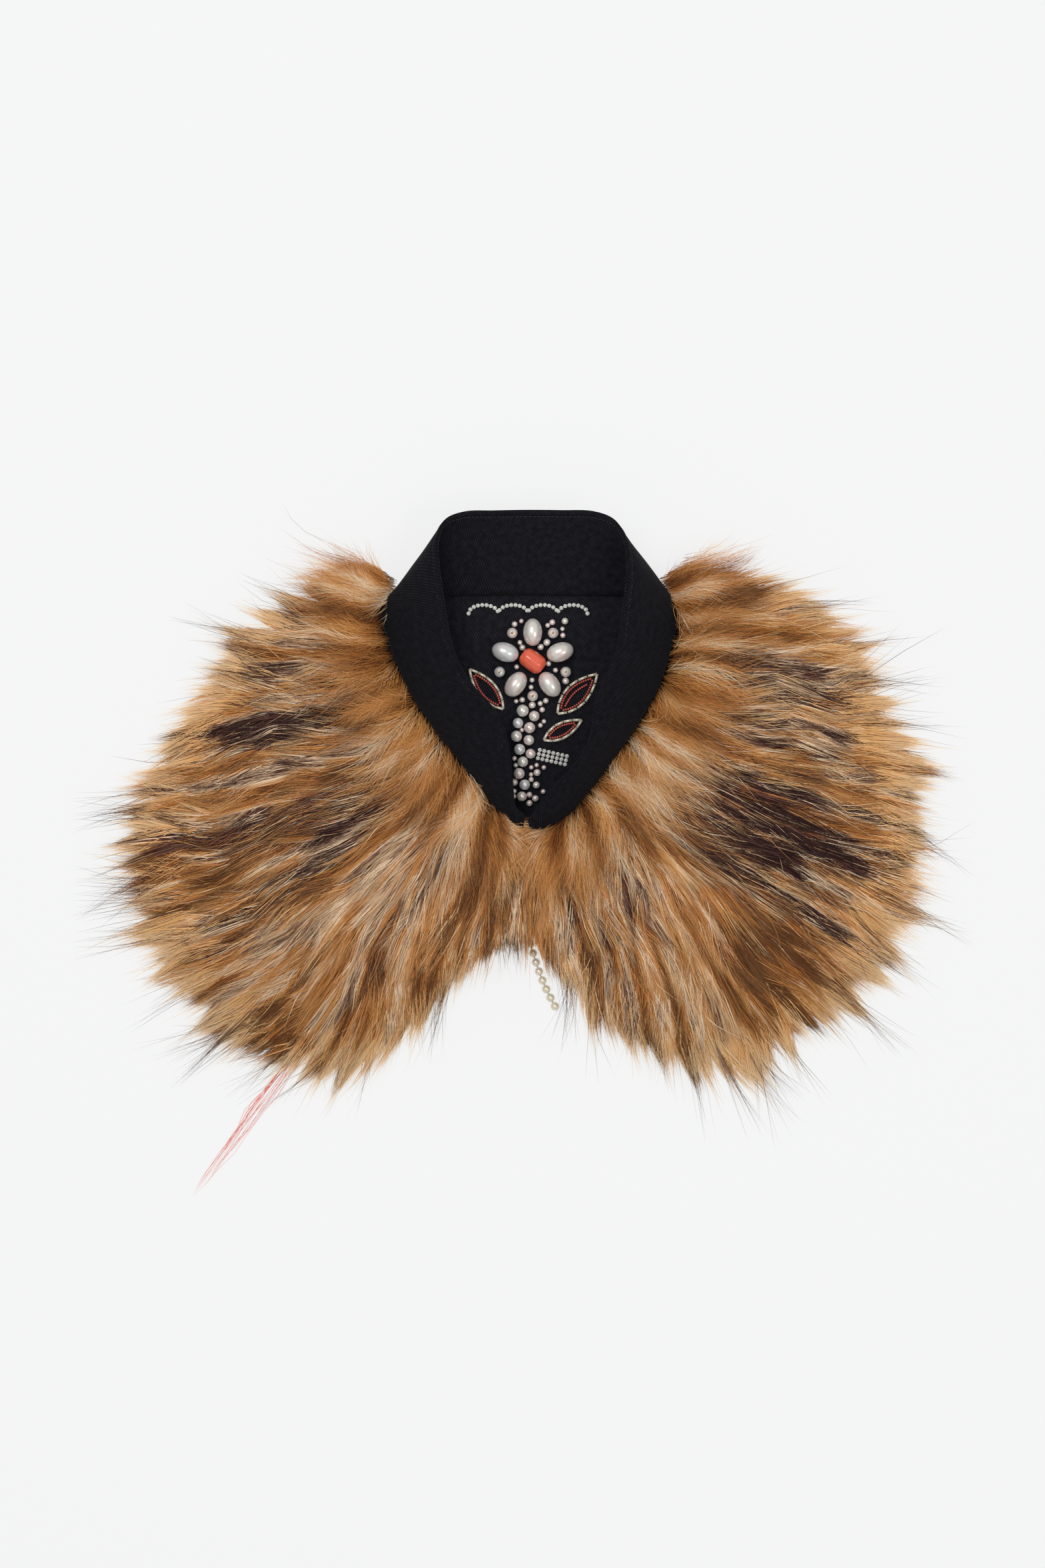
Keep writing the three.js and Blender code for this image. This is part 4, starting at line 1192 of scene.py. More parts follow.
def build_back(settings):
    """The hidden back panel: a skin near the top of its solid, and flattened pile below and around it."""
    node = "fur_back"
    low, high = (np.array(corner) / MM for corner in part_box(node))
    relief = Relief(node)
    angles = np.linspace(0, 2 * np.pi, 121)[:-1]
    points = relief.points
    turn = np.arctan2(points[:, 0], -points[:, 1]) % (2 * np.pi)
    radius = np.hypot(points[:, 0], points[:, 1])
    edge = np.array([radius[np.abs((turn - a + np.pi) % (2 * np.pi) - np.pi) < 0.07].max() for a in angles])
    shares = np.linspace(0.02, 1, 16)
    plan = (edge - 9)[:, None] * shares[None]
    ring = np.stack([plan * np.sin(angles)[:, None], -plan * np.cos(angles)[:, None]], -1)
    ring = np.concatenate([ring, ring[:1]])
    top = np.concatenate([ring, np.full(ring.shape[:2] + (1,), high[2] - 0.4)], axis=2)
    bottom = np.concatenate([ring, np.full(ring.shape[:2] + (1,), high[2] - 2.6)], axis=2)
    top[..., 2] -= 2.5 * shares[None] ** 8
    bottom[..., 2] -= 2.5 * shares[None] ** 8
    skin = add_piece("fur_back_skin", make_mesh("fur_back_skin", *closed_disc(top[:-1], bottom[:-1])), [backing_and_gap_shade_material()], [node])

    draw = np.random.default_rng(settings.seed + 300)
    total = 7000
    where = draw.uniform(0, 2 * np.pi, total)
    reach_at = np.interp(where, angles, edge, period=2 * np.pi)
    start = (reach_at - 22) * np.sqrt(draw.uniform(0.0, 1, total))
    long = draw.uniform(24, 40, total)
    long = np.minimum(long, reach_at - start + draw.uniform(-4, 3, total))
    heading = where + draw.normal(0, 0.10, total)
    way = np.stack([np.sin(heading), -np.cos(heading)], -1)
    root = np.stack([start * np.sin(where), -start * np.cos(where)], -1)
    stops = np.array([0, 0.33, 0.67, 1.0])
    plan = root[:, None] + way[:, None] * (long[:, None] * stops[None])[..., None]
    over_neck = plan[..., 1] > 49
    plan[..., 1] = np.where(over_neck, 49 - 0.1 * (plan[..., 1] - 49), plan[..., 1])
    fall = draw.uniform(0.5, 6.5, total)
    height = 10.5 + (fall - 10.5)[:, None] * np.array([0, 0.62, 0.95, 1.0])
    paths = np.concatenate([plan, np.maximum(height, 0.5)[..., None]], axis=2)
    widths = settings.hair_width * 1.5 * draw.uniform(0.8, 1.2, total)[:, None] * np.array([0.9, 1, 0.7])
    kinds = draw.choice([KIND["golden"], KIND["russet"], KIND["cream"], KIND["brown"]], total, p=[0.4, 0.3, 0.15, 0.15])
    mesh = hair_mesh("fur_pile_back", paths, widths, kinds, draw.random(total), draw.normal(0, 0.6, total))
    add_piece("fur_pile_back", mesh, hair_materials(), [node])


def stand_middle(stations, rows):
    """Points of the stand's middle surface and its outward normals."""
    sections = [*STAND_LEFT, NAPE, *reversed(STAND_RIGHT)]
    shares = np.linspace(0, 1, stations)
    base = curve_through([section["base"] for section in sections], shares)
    top = curve_through([section["top"] for section in sections], shares)
    along = np.gradient(base + top, axis=0)
    out = unit(np.cross(along, top - base))
    away = base - np.array([0, -10, 0])
    away[:, 2] = 0
    out *= np.where((out * away).sum(1, keepdims=True) < 0, -1, 1)
    up = np.asarray(rows)[None, :, None]
    middle = base[:, None] * (1 - up) + top[:, None] * up
    return middle + out[:, None] * STAND_BULGE * 4 * up * (1 - up), out, base, top


def build_stand(settings):
    """Two plies of twill that meet at the free edge, with a row of topstitching."""
    stations = 300
    rows = np.concatenate([np.linspace(0, 0.9, 15), np.linspace(0.92, 1, 6)])
    middle, out, base, top = stand_middle(stations, rows)
    height = np.linalg.norm(top - base, axis=1)
    along = np.concatenate([[0], np.cumsum(np.linalg.norm(np.diff((base + top) / 2, axis=0), axis=1))])
    up = rows[None] * height[:, None]
    spot = np.stack([np.broadcast_to(along[:, None], up.shape), up], -1)
    soft = 0.55 * ripple(spot.reshape(-1, 2), 34, 5).reshape(up.shape)
    soft += 0.22 * ripple(spot.reshape(-1, 2), 13, 6).reshape(up.shape)
    inside = np.clip(np.minimum(rows, 1 - rows) * 5, 0, 1)[None]
    ends = np.clip(np.minimum(along, along[-1] - along) / 12, 0, 1)[:, None]
    middle = middle + out[:, None] * (soft * inside * ends)[..., None]
    from_edge = (1 - rows)[None] * height[:, None]
    groove = 0.55 * np.exp(-(((from_edge - 3.2) / 0.8) ** 2)) - 0.34 * np.exp(-(((from_edge - 1.4) / 1.0) ** 2))
    pucker = 0.10 * np.sin(along * 2 * np.pi / 6.2)[:, None] * np.exp(-(((from_edge - 3.2) / 2.4) ** 2))
    for name, way in (("stand_outer", 1), ("stand_inner", -1)):
        # The inner ply is a lighter copy of the same twill: painted light.
        weave = ("stand_cloth", settings, 70) if way > 0 else ("stand_inner_cloth", settings, 66, 1.35)
        near = SEAM_GAP / 2
        far = near + settings.ply
        surface = far - groove - pucker
        outer = middle + way * out[:, None] * surface[..., None]
        inner = middle + way * out[:, None] * near
        crest = rounded_edge(outer[:, -1], inner[:, -1], unit(top - base))
        if way < 0:
            outer = with_facing(outer, out * way, near + settings.ply)
            inner = with_facing(inner, out * way, near)
        rings = np.concatenate([outer, crest, inner[:, ::-1]], axis=1)
        points, faces, sizes = swept(rings)
        mesh = make_mesh(name + "_cloth", points, faces, sizes, {"Cloth": ring_map(rings, along, faces)})
        cloth = add_piece(name + "_cloth", mesh, [twill_material(*weave)], [name])
        build_stitches(name, middle, out, way, near + settings.ply, along, top, base, settings)


def rounded_edge(outer, inner, up):
    """Three rows of points over the free edge between the two faces of a ply."""
    centre = (outer + inner) / 2
    half = (outer - inner) / 2
    size = np.linalg.norm(half, axis=1, keepdims=True)
    rows = [centre + half * math.cos(turn) + up * size * math.sin(turn) for turn in np.radians([35, 90, 145])]
    return np.stack(rows, axis=1)


def with_facing(grid, out, offset):
    """Carries the inner ply on below the seam, down to the lining."""
    first = grid[:, :1]
    hem = first.copy()
    hem[..., 2] = np.minimum(FACING_DROP, first[..., 2] - 0.9)
    halfway = (hem + first) / 2
    return np.concatenate([hem, halfway, grid], axis=1)


def ring_map(rings, along, faces):
    """A cloth map in metres: along the strip and up round the ply."""
    around = rings.shape[1]
    step = np.linalg.norm(np.diff(rings, axis=1), axis=2)
    up = np.concatenate([np.zeros((len(rings), 1)), np.cumsum(step, axis=1)], axis=1)
    chart = np.stack([np.broadcast_to(along[:, None], up.shape), up], -1).reshape(-1, 2) * MM
    return chart[faces]


def capsule(length, width, sides=6):
    half = length / 2
    return lathe([(-half, 0), (-half * 0.8, width * 0.32), (-half * 0.4, width * 0.5), (half * 0.4, width * 0.5), (half * 0.8, width * 0.32), (half, 0)], sides)


def build_stitches(name, middle, out, way, lift, along, top, base, settings):
    """One row of topstitches near the free edge."""
    pitch = settings.stitch + 0.6
    height = np.linalg.norm(top - base, axis=1)
    stitch = capsule(settings.stitch, 0.5)
    parts = []
    line = top + (base - top) * (3.2 / height)[:, None] + out * way * (lift - 0.18)
    for centre in np.arange(4, along[-1] - 4, pitch):
        ends = np.array([[np.interp(centre + d, along, line[:, k]) for k in range(3)] for d in (-0.5, 0.5)])
        ahead = unit(ends[1] - ends[0])
        normal = np.array([np.interp(centre, along, out[:, k]) for k in range(3)]) * way
        side = unit(np.cross(normal, ahead))
        spin = np.stack([ahead, side, np.cross(ahead, side)])
        points, faces, sizes = stitch
        parts.append((points @ spin + ends.mean(0), faces, sizes, 0))
    points, faces, sizes, _ = joined(parts)
    mesh = make_mesh(name + "_topstitch", points, faces, sizes)
    add_piece(name + "_topstitch", mesh, [thread_material("black_thread", srgb(0.15, 0.15, 0.17))])


def build_lining(settings):
    """The back lining: a thin black twill sheet with faint ripples."""
    node = "lining_back"
    low, high = (np.array(corner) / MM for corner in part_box(node))
    points = np.array([v.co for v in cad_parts[node].data.vertices]) / MM
    angles = np.linspace(0, 2 * np.pi, 145)
    turn = np.arctan2(points[:, 0], -points[:, 1]) % (2 * np.pi)
    radius = np.hypot(points[:, 0], points[:, 1])
    edge = np.array([
        radius[np.abs((turn - a + np.pi) % (2 * np.pi) - np.pi) < 0.05].max() for a in angles[:-1]
    ])
    edge = np.append(edge, edge[0])
    to_nape = -edge * np.cos(angles) > 40
    edge = np.where(to_nape, edge + 2.6, edge)
    shares = np.linspace(0.01, 1, 40)
    plan = edge[:, None] * shares[None]
    ring = np.stack([plan * np.sin(angles)[:, None], -plan * np.cos(angles)[:, None]], -1)
    wave = 0.22 * ripple(ring.reshape(-1, 2), 26, 8).reshape(plan.shape)
    top = np.concatenate([ring, (high[2] - 0.25 + wave)[..., None]], axis=2)
    bottom = np.concatenate([ring, (low[2] + 0.1 + 0 * wave)[..., None]], axis=2)
    points, faces, sizes = closed_disc(top[:-1], bottom[:-1])
    mesh = make_mesh("lining_cloth", points, faces, sizes, {"Cloth": points[faces, :2] * MM})
    # The lining is the same twill made lighter: painted light.
    lining = add_piece("lining_cloth", mesh, [twill_material("lining_cloth", settings, 63, 1.7)], [node])
    return high[2]


def pearl_part(long, wide, hole=0.55, rings=14, sides=26):
    """An ellipsoid bead, long in X, with a small drilled dimple at each end."""
    turn = np.linspace(0.10, np.pi - 0.10, rings)
    body = [(-math.cos(t) * long / 2, math.sin(t) * wide / 2) for t in turn]
    dimple = min(hole, wide * 0.12)
    start = body[0][0] + 0.4
    return lathe([(start + 0.3, 0), (start, dimple * 0.7), *body, (-start, dimple * 0.7), (-start - 0.3, 0)], sides)


def build_pearls(settings):
    """Replaces each CAD pearl by a finer one in the same place."""
    cream = pearl_material("pearl_cream", settings.pearl, srgb(0.93, 0.85, 0.83))
    silver = pearl_material("pearl_silver", srgb(0.86, 0.87, 0.865), srgb(0.89, 0.87, 0.87))
    eye = plain_bead_material("gold_eye", srgb(0.80, 0.62, 0.33), 0.35, metallic=0.9)
    for name in sorted(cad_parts):
        if not name.startswith(("pearl_petal", "pearl_bud", "pearl_trail")):
            continue
        points = np.array([v.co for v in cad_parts[name].data.vertices]) / MM
        centre = (points.min(0) + points.max(0)) / 2
        tall = np.ptp(points[:, 2])
        flat = points[:, :2] - centre[:2]
        long_way = np.linalg.eigh(flat.T @ flat)[1][:, -1]
        along = flat @ long_way
        long = np.ptp(along)
        heading = math.degrees(math.atan2(long_way[1], long_way[0]))
        number = int(name.rsplit("_", 1)[1])
        petal = name.startswith("pearl_petal")
        heading = heading if petal else 37 * number
        body = placed(pearl_part(long if petal else tall, tall), centre, heading)
        parts = [(*body, 0)]
        if name.startswith("pearl_bud"):
            ring = lathe([(-0.25, 0), (-0.25, 0.5), (0, 0.85), (0.25, 0.5), (0.25, 0)], 12)
            upright = ring[0][:, [2, 1, 0]] + centre + [0, 0, tall / 2 - 0.05]
            parts.append((upright, ring[1], ring[2], 1))
        joined_points, faces, sizes, slots = joined(parts)
        mesh = make_mesh(name + "_bead", joined_points, faces, sizes, slots=slots)
        add_piece(name + "_bead", mesh, [silver if number % 4 == 3 else cream, eye], [name])


def build_coral(settings):
    """The coral bead: a soft eight-sided barrel with rounded ridges."""
    node = "coral_bead"
    points = np.array([v.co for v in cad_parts[node].data.vertices]) / MM
    centre = (points.min(0) + points.max(0)) / 2
    flat = points[:, :2] - centre[:2]
    long_way = np.linalg.eigh(flat.T @ flat)[1][:, -1]
    long = np.ptp(flat @ long_way)
    wide = np.ptp(points[:, 2])
    turn = np.linspace(0.16, np.pi - 0.16, 20)
    power = 0.62
    body = [(-np.sign(math.cos(t)) * abs(math.cos(t)) ** power * long / 2, math.sin(t) ** power * wide / 2) for t in turn]
    start = body[0][0] + 0.5
    part = lathe([(start + 0.8, 0), (start, 0.5), *body, (-start, 0.5), (-start - 0.8, 0)], 48)
    around = np.arctan2(part[0][:, 2], part[0][:, 1])
    swell = 1 + 0.022 * np.cos(8 * around)
    part[0][:, 1] *= swell
    part[0][:, 2] *= swell
    heading = math.degrees(math.atan2(long_way[1], long_way[0]))
    points, faces, sizes = placed(part, centre, heading)
    material = plain_bead_material("coral_resin", settings.coral, 0.24, coat=0.5)
    material.node_tree.nodes["Principled BSDF"].inputs["Subsurface Weight"].default_value = 0.0
    add_piece("coral_bead_fine", make_mesh("coral_bead_fine", points, faces, sizes), [material], [node])


def line_places(points, pitch):
    """Even places along a line of points, with headings."""
    points = np.asarray(points, float)
    step = np.linalg.norm(np.diff(points, axis=0), axis=1)
    along = np.concatenate([[0], np.cumsum(step)])
    count = max(2, int(round(along[-1] / pitch)) + 1)
    at = np.linspace(0, along[-1], count)
    places = np.stack([np.interp(at, along, points[:, k]) for k in range(2)], -1)
    ways = np.gradient(places, axis=0)
    return places, np.degrees(np.arctan2(ways[:, 1], ways[:, 0]))


def stone_part():
    """One rhinestone in a metal cup: metal, facets with a painted bright reflection and facets with a painted dark
    reflection are slots 0, 1 and 2.
    """
    cup = lathe([(0, 0), (0, 1.15), (0.55, 1.32), (0.85, 1.30), (0.85, 1.0), (0.5, 0.5), (0.45, 0)], 10)
    up = cup[0][:, [2, 1, 0]]
    sides = 8
    turn = np.arange(sides) * 2 * np.pi / sides
    girdle = np.stack([1.12 * np.cos(turn), 1.12 * np.sin(turn), np.full(sides, 0.88)], -1)
    crown = np.stack([0.62 * np.cos(turn + np.pi / 8), 0.62 * np.sin(turn + np.pi / 8), np.full(sides, 1.42)], -1)
    middle = [[0, 0, 1.46], [0, 0, 0.5]]
    points = np.concatenate([girdle, crown, middle])
    faces, slots = [], []
    for k in range(sides):
        ahead = (k + 1) % sides
        faces += [(k, ahead, sides + k), (sides + k, ahead, sides + ahead), (sides + k, sides + ahead, 2 * sides), (ahead, k, 2 * sides + 1)]
        slots += [1 if k % 2 else 2, 1, 1 if k % 3 else 2, 2]
    stone = points, np.array(faces).ravel(), np.full(len(faces), 3, np.int32), np.array(slots)
    whole = joined([(up, cup[1], cup[2], 0), stone])
    return whole


def build_stones(settings, lining_top):
    part = stone_part()
    places = []
    width = (SCALLOPS["to"] - SCALLOPS["from"]) / SCALLOPS["count"]
    xs = np.linspace(SCALLOPS["from"], SCALLOPS["to"], 400)
    arch = np.sqrt(np.maximum(0, 1 - (((xs - SCALLOPS["from"]) % width) / width * 2 - 1) ** 2))
    line = np.stack([xs, SCALLOPS["y"] + SCALLOPS["deep"] * arch], -1)
    places += list(line_places(line, settings.stone)[0])
    start, end = (np.array(STONE_BAND[key], float) for key in ("from", "to"))
    across = unit(np.array([-(end - start)[1], (end - start)[0]]))
    for row in range(STONE_BAND["rows"]):
        shift = across * (row - 1) * settings.stone * 0.98
        places += list(line_places([start + shift, end + shift], settings.stone)[0])
    draw = np.random.default_rng(31)
    parts = []
    for x, y in places:
        points, faces, sizes, slots = part
        moved = placed((points, faces, sizes), (x, y, lining_top + 0.05), draw.uniform(0, 360), (0.97, 0.97, 1))
        parts.append((*moved, slots))
    points, faces, sizes, slots = joined(parts)
    metal = plain_bead_material("silver_cup", srgb(0.82, 0.81, 0.78), 0.3, metallic=0.45)
    # The crystal's facets are painted bright and dark in place of reflections.
    light = plain_bead_material("crystal_light", srgb(0.97, 0.97, 0.95), 0.08, coat=1.0)
    dark = plain_bead_material("crystal_dark", srgb(0.40, 0.40, 0.38), 0.06, coat=1.0)
    mesh = make_mesh("beading_rhinestones", points, faces, sizes, smooth=False, slots=slots)
    add_piece("beading_rhinestones", mesh, [metal, light, dark])


def leaf_outline(leaf, inset=0.0, steps=40):
    """An almond outline from the base round to the tip and back."""
    base, tip = (np.array(leaf[key], float) for key in ("base", "tip"))
    long = np.linalg.norm(tip - base)
    way = (tip - base) / long
    aside = np.array([-way[1], way[0]])
    share = np.linspace(0, 1, steps)
    bow = (leaf["wide"] / 2 - inset) * np.sin(np.pi * share**0.9) ** 0.9
    along = inset * 1.6 + (long - inset * 3.6) * share
    right = base + way * along[:, None] + aside * bow[:, None]
    left = base + way * along[:, None] - aside * bow[:, None]
    return right, left[::-1]


def build_bugles(settings, lining_top):
    """Leaves outlined in silver-lined bugles, each with a red line inside, and the largest with a red midrib."""
    tube = lathe([(-2.85, 0), (-2.85, 0.45), (-3.0, 0.9), (3.0, 0.9), (2.85, 0.45), (2.85, 0)], 8)
    seed = lathe([(-0.7, 0), (-0.7, 0.3), (-0.35, 0.75), (0.35, 0.75), (0.7, 0.3), (0.7, 0)], 8)
    stretch = settings.bugle / 6.0
    tubes, seeds = [], []
    for leaf in LEAVES:
        for side in leaf_outline(leaf):
            places, headings = line_places(side, settings.bugle + 0.5)
            halfway = (places[1:] + places[:-1]) / 2
            ways = places[1:] - places[:-1]
            fit = np.linalg.norm(ways, axis=1) / (settings.bugle + 0.35)
            for place, way, size in zip(halfway, ways, fit):
                heading = math.degrees(math.atan2(way[1], way[0]))
                spot = (*place, lining_top + 0.95)
                tubes.append((*placed(tube, spot, heading, (stretch * min(size, 1), 1, 1)), 0))
        for side in leaf_outline(leaf, inset=2.1):
            places, headings = line_places(side, 1.55)
            for place, heading in zip(places[1:-1], headings[1:-1]):
                seeds.append((*placed(seed, (*place, lining_top + 0.78), heading), 0))
        if leaf["wide"] < 14:
            continue
        base, tip = (np.array(leaf[key], float) for key in ("base", "tip"))
        rib = base + (tip - base) * np.linspace(0.2, 0.72, 12)[:, None]
        rib += np.array([-(tip - base)[1], (tip - base)[0]]) * (0.05 * np.sin(np.linspace(0, np.pi, 12)))[:, None]
        places, headings = line_places(rib, 1.55)
        for place, heading in zip(places, headings):
            seeds.append((*placed(seed, (*place, lining_top + 0.78), heading), 0))
    silver = plain_bead_material("silver_lined_glass", srgb(0.97, 0.93, 0.84), 0.16, metallic=0.22, coat=1.0)
    red = plain_bead_material("red_glass", settings.red, 0.22, coat=0.8)
    for title, parts, material in (("beading_bugles", tubes, silver), ("beading_red_seeds", seeds, red)):
        points, faces, sizes, _ = joined(parts)
        add_piece(title, make_mesh(title, points, faces, sizes), [material])


def off_line(spot, start, end):
    """Distance of a place from a straight line between two others."""
    start, way = np.array(start, float), np.subtract(end, start).astype(float)
    share = np.clip((spot - start) @ way / (way @ way), 0, 1)
    return np.hypot(*(spot - start - share * way))


def build_seed_pearls(settings, lining_top):
    """Small pearls scattered close round the flower and the trail, clear of the larger ones."""
    draw = np.random.default_rng(12)
    taken = []
    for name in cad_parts:
        if name.startswith("pearl_") and name != "pearl_strand" or name == "coral_bead":
            low, high = (np.array(corner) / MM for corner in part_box(name))
            taken.append(((low + high)[:2] / 2, max(high[:2] - low[:2]) / 2))
    anchors = [spot for spot, size in taken]
    lines = [(leaf["base"], leaf["tip"], leaf["wide"] / 2 + 0.8) for leaf in LEAVES]
    lines.append((STONE_BAND["from"], STONE_BAND["to"], 4.6))
    small = []
    for _ in range(1600):
        if len(small) >= 42:
            break
        size = draw.uniform(1.5, 2.4)
        anchor = anchors[draw.integers(len(anchors))]
        turn, far = draw.uniform(0, 2 * np.pi), draw.uniform(4, 13)
        spot = anchor + far * np.array([math.cos(turn), math.sin(turn)])
        clear = all(np.hypot(*(spot - other)) > 0.93 * reach + size for other, reach in taken + small)
        clear = clear and all(off_line(spot, *ends) > half + size for *ends, half in lines)
        inside = -8 < spot[0] < 26 and -84 < spot[1] < 34
        if clear and inside:
            small.append((spot, size))
    parts = []
    for spot, size in small:
        bead = placed(pearl_part(2 * size, 2 * size, 0.4, 9, 14), (*spot, lining_top + size), draw.uniform(0, 360))
        parts.append((*bead, 0))
    points, faces, sizes, _ = joined(parts)
    cream = pearl_material("pearl_cream", settings.pearl, srgb(0.93, 0.85, 0.83))
    add_piece("beading_seed_pearls", make_mesh("beading_seed_pearls", points, faces, sizes), [cream])


def build_strand(settings):
    """The strand of small pearls that lies on the floor below the fronts."""
    dense = curve_through([(x, y, 0) for x, y in STRAND_PATH], np.linspace(0, 1, 80))
    places, headings = line_places(dense[:, :2], STRAND_PITCH)
    lift = STRAND_PEARL / 2 + SEAM_GAP
    pearl = pearl_part(STRAND_PEARL, STRAND_PEARL, 0.5, 10, 18)
    parts = [(*placed(pearl, (*place, lift), heading), 0) for place, heading in zip(places, headings)]
    for place, heading, ahead in zip(places[:-1], headings, places[1:]):
        thread = capsule(2.2, 0.7)
        parts.append((*placed(thread, (*((place + ahead) / 2), lift), heading), 1))
    cream = pearl_material("pearl_ivory", srgb(0.88, 0.85, 0.75), srgb(0.92, 0.87, 0.80))
    thread = thread_material("strand_thread", srgb(0.80, 0.76, 0.68))
    points, faces, sizes, slots = joined(parts)
    mesh = make_mesh("pearl_strand_fine", points, faces, sizes, slots=slots)
    add_piece("pearl_strand_fine", mesh, [cream, thread], ["pearl_strand"])


def build_tassel(settings):
    """Loose red threads that come out from under the left front."""
    draw = np.random.default_rng(44)
    count, stops = 20, 9
    turn = math.radians(TASSEL["heading"])
    way = np.array([math.cos(turn), math.sin(turn)])
    aside = np.array([-way[1], way[0]])
    share = np.linspace(0, 1, stops)
    length = TASSEL["longest"] * draw.uniform(0.66, 1.0, count)
    spread = draw.uniform(-0.5, 0.5, count)
    belly = np.sin(np.pi * np.clip(share / 0.9, 0, 1)) ** 0.8
    swing = spread[:, None] * (TASSEL["bulge"] * belly + TASSEL["fan"] * share)[None]
    swing += draw.normal(0, 0.7, (count, stops)) * np.clip(share * 3, 0, 1)
    along = length[:, None] * share[None]
    plan = np.array([TASSEL["x"], TASSEL["y"]]) + along[..., None] * way + swing[..., None] * aside
    height = 0.6 + draw.uniform(0, 1.2, (count, stops)) + (TASSEL["knot"] / 2) * np.exp(-share * 9)
    paths = np.concatenate([plan, height[..., None]], axis=2)
    widths = 0.36 * draw.uniform(0.8, 1.1, count)[:, None] * np.linspace(1, 0.6, stops - 1)
    kinds = np.zeros(count, int)
    mesh = hair_mesh("tassel_threads", paths, widths, kinds, draw.random(count), draw.normal(0, 0.6, count))
    red = thread_material("tassel_red", settings.thread, 0.5)
    add_piece("tassel_threads", mesh, [red], ["thread_tassel"])
    knot = pearl_part(TASSEL["knot"], TASSEL["knot"], 0.2, 8, 12)
    points, faces, sizes = placed(knot, (TASSEL["x"], TASSEL["y"], TASSEL["knot"] / 2 + 0.3))
    add_piece("tassel_knot", make_mesh("tassel_knot", points, faces, sizes), [red], ["thread_tassel"])


def build_stage(settings):
    """Camera straight above, a pale floor and soft light."""
    scene = bpy.context.scene
    scene.view_settings.view_transform = "Standard"
    scale = 0.43  # mm of the stole to a pixel of the photograph
    photo = (1568, 2352)
    neck_pixel = (790, 1010)
    centre = ((photo[0] / 2 - neck_pixel[0]) * scale, (neck_pixel[1] - photo[1] / 2) * scale)
    plane, distance = 25, 2500
    data = bpy.data.cameras.new("camera")
    data.sensor_width = 36
    data.lens = 36 * distance / (photo[1] * scale)
    camera = bpy.data.objects.new("camera", data)
    camera.location = (centre[0] * MM, centre[1] * MM, (plane + distance) * MM)
    data.clip_end = 40
    scene.collection.objects.link(camera)
    scene.camera = camera

    world = bpy.data.worlds.new("studio")
    world.use_nodes = True
    sky = world.node_tree.nodes["Background"]
    sky.inputs[0].default_value = (1, 1, 1, 1)
    sky.inputs[1].default_value = settings.fill
    scene.world = world

    size = 15000
    floor_points = np.array([(-size, -size, 0), (size, -size, 0), (size, size, 0), (-size, size, 0)], float)
    mesh = make_mesh("floor", floor_points, [(0, 1, 2, 3)], smooth=False)
    floor = bpy.data.objects.new("floor", mesh)
    scene.collection.objects.link(floor)
    material, tree, shader = new_material("floor_paper")
    shader.inputs["Base Color"].default_value = (*settings.floor, 1)
    shader.inputs["Roughness"].default_value = 0.9
    shader.inputs["Specular IOR Level"].default_value = 0.1
    shader.inputs["Emission Color"].default_value = (0.995, 1, 1, 1)
    shader.inputs["Emission Strength"].default_value = settings.glow
    mesh.materials.append(material)

    for name, place, wide, power in (
        ("key", (-0.55, 0.65, 2.6), 1.3, settings.key),
        ("side", (1.1, -0.5, 2.2), 1.1, settings.key * 0.35),
    ):
        lamp = bpy.data.lights.new(name, "AREA")
        lamp.shape = "DISK"
        lamp.size = wide
        lamp.energy = power
        holder = bpy.data.objects.new(name, lamp)
        holder.location = place
        holder.rotation_euler = (-Vector(place)).to_track_quat("-Z", "Y").to_euler()
        scene.collection.objects.link(holder)


# Operators

class STOLE_OT_stage(bpy.types.Operator):
    """Makes the camera, the floor and the lights."""

    bl_idname = "stole.stage"
    bl_label = "Stage"

    def execute(self, context):
        build_stage(context.scene.stole_stage)
        return {"FINISHED"}


class STOLE_OT_fur_back(bpy.types.Operator):
    """Makes the hidden fur back."""

    bl_idname = "stole.fur_back"
    bl_label = "Fur back"

    def execute(self, context):
        build_back(context.scene.stole_fur)
        return {"FINISHED"}


class STOLE_OT_fur_fronts(bpy.types.Operator):
    """Makes the two fur fronts with their combed pile."""

    bl_idname = "stole.fur_fronts"
    bl_label = "Fur fronts"

    def execute(self, context):
        for side_name in SIDES:
            build_front(side_name, context.scene.stole_fur)
        return {"FINISHED"}


class STOLE_OT_stand(bpy.types.Operator):
    """Makes the two plies of the twill stand and their topstitching."""

    bl_idname = "stole.stand"
    bl_label = "Stand"

    def execute(self, context):
        build_stand(context.scene.stole_cloth)
        return {"FINISHED"}


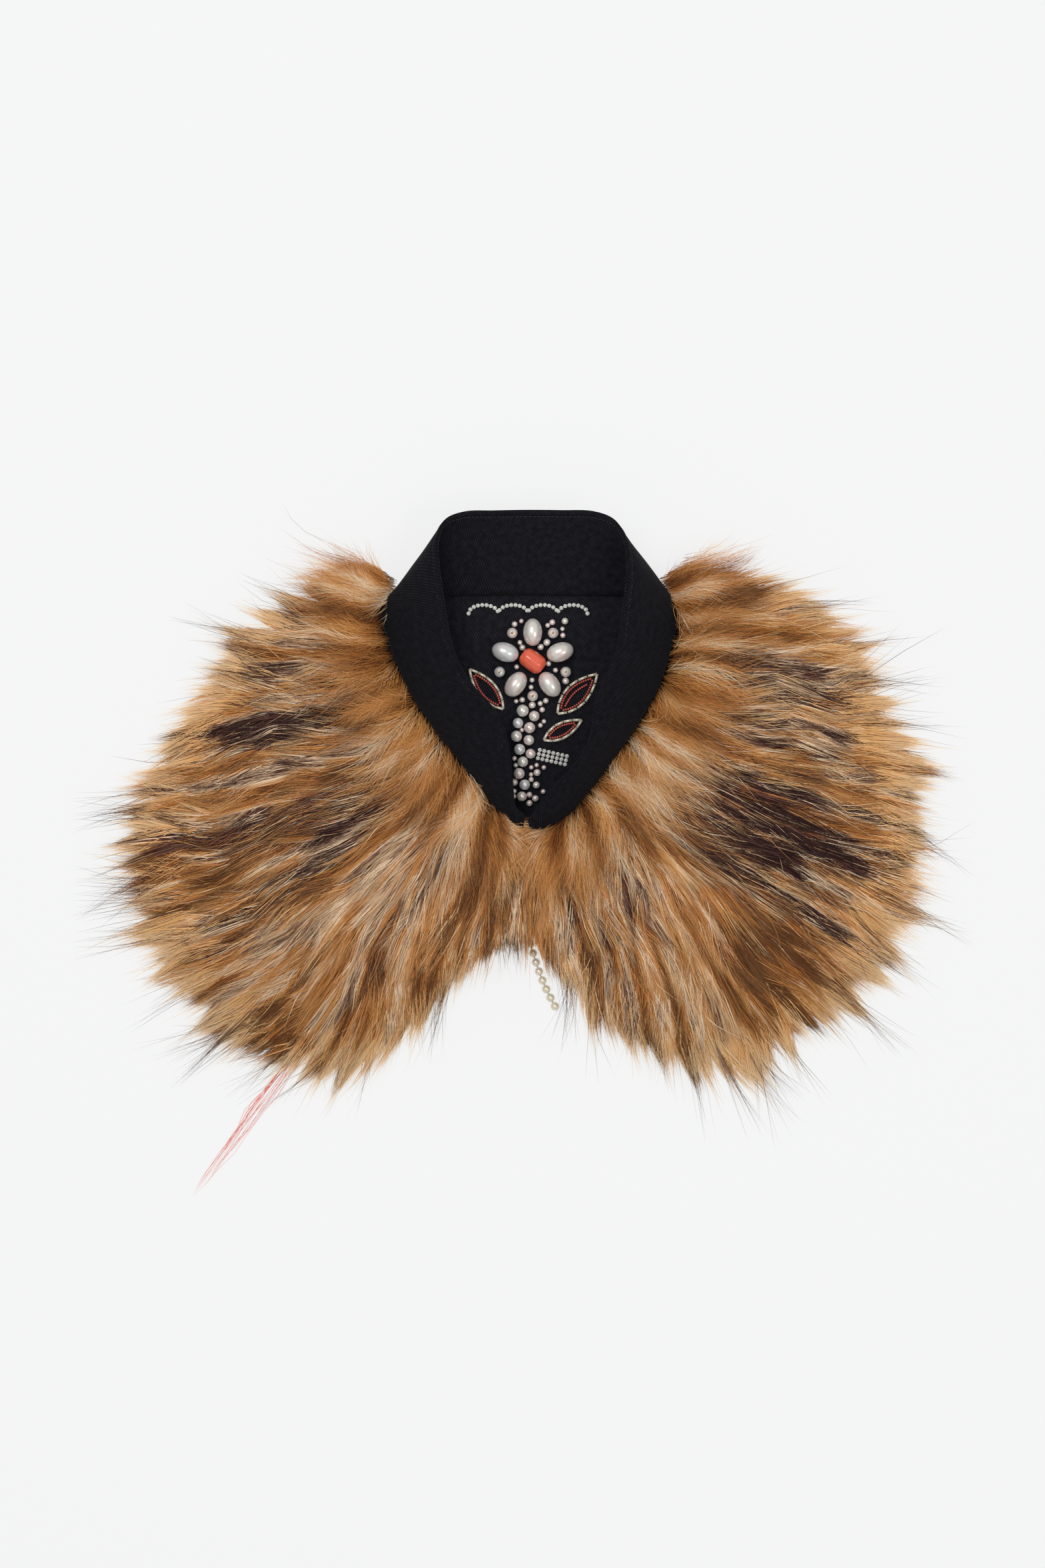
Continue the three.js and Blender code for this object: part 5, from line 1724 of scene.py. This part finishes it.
class STOLE_OT_beaded_lining(bpy.types.Operator):
    """Makes the lining and the small beads sewn to it."""

    bl_idname = "stole.beaded_lining"
    bl_label = "Beaded lining"

    def execute(self, context):
        lining_top = build_lining(context.scene.stole_cloth)
        build_stones(context.scene.stole_beads, lining_top)
        build_bugles(context.scene.stole_beads, lining_top)
        build_seed_pearls(context.scene.stole_beads, lining_top)
        return {"FINISHED"}


class STOLE_OT_pearls(bpy.types.Operator):
    """Makes the large pearls and the coral bead."""

    bl_idname = "stole.pearls"
    bl_label = "Pearls"

    def execute(self, context):
        build_pearls(context.scene.stole_beads)
        build_coral(context.scene.stole_beads)
        return {"FINISHED"}


class STOLE_OT_hangings(bpy.types.Operator):
    """Makes the strand of pearls and the red tassel."""

    bl_idname = "stole.hangings"
    bl_label = "Strand and tassel"

    def execute(self, context):
        build_strand(context.scene.stole_beads)
        build_tassel(context.scene.stole_beads)
        return {"FINISHED"}


class STOLE_PT_panel(bpy.types.Panel):
    """Lists the operators and their settings."""

    bl_label = "Fur collar stole"
    bl_idname = "STOLE_PT_panel"
    bl_space_type = "VIEW_3D"
    bl_region_type = "UI"
    bl_category = "Stole"

    def draw(self, context):
        for operator in OPERATORS:
            self.layout.operator(operator.bl_idname)
        for attribute, group in SETTINGS.items():
            box = self.layout.box()
            for name in group.__annotations__:
                box.prop(getattr(context.scene, attribute), name)


SETTINGS = {
    "stole_fur": FurSettings,
    "stole_cloth": ClothSettings,
    "stole_beads": BeadSettings,
    "stole_stage": StageSettings,
}
OPERATORS = [
    STOLE_OT_stage,
    STOLE_OT_fur_back,
    STOLE_OT_fur_fronts,
    STOLE_OT_beaded_lining,
    STOLE_OT_stand,
    STOLE_OT_pearls,
    STOLE_OT_hangings,
]


def register():
    for group in (*SETTINGS.values(), *OPERATORS, STOLE_PT_panel):
        bpy.utils.register_class(group)
    for attribute, group in SETTINGS.items():
        setattr(bpy.types.Scene, attribute, PointerProperty(type=group))


def unregister():
    for attribute in SETTINGS:
        delattr(bpy.types.Scene, attribute)
    for group in (STOLE_PT_panel, *reversed(OPERATORS), *SETTINGS.values()):
        bpy.utils.unregister_class(group)


def main():
    register()
    for operator in OPERATORS:
        group, name = operator.bl_idname.split(".")
        getattr(getattr(bpy.ops, group), name)()


if __name__ == "__main__":
    main()
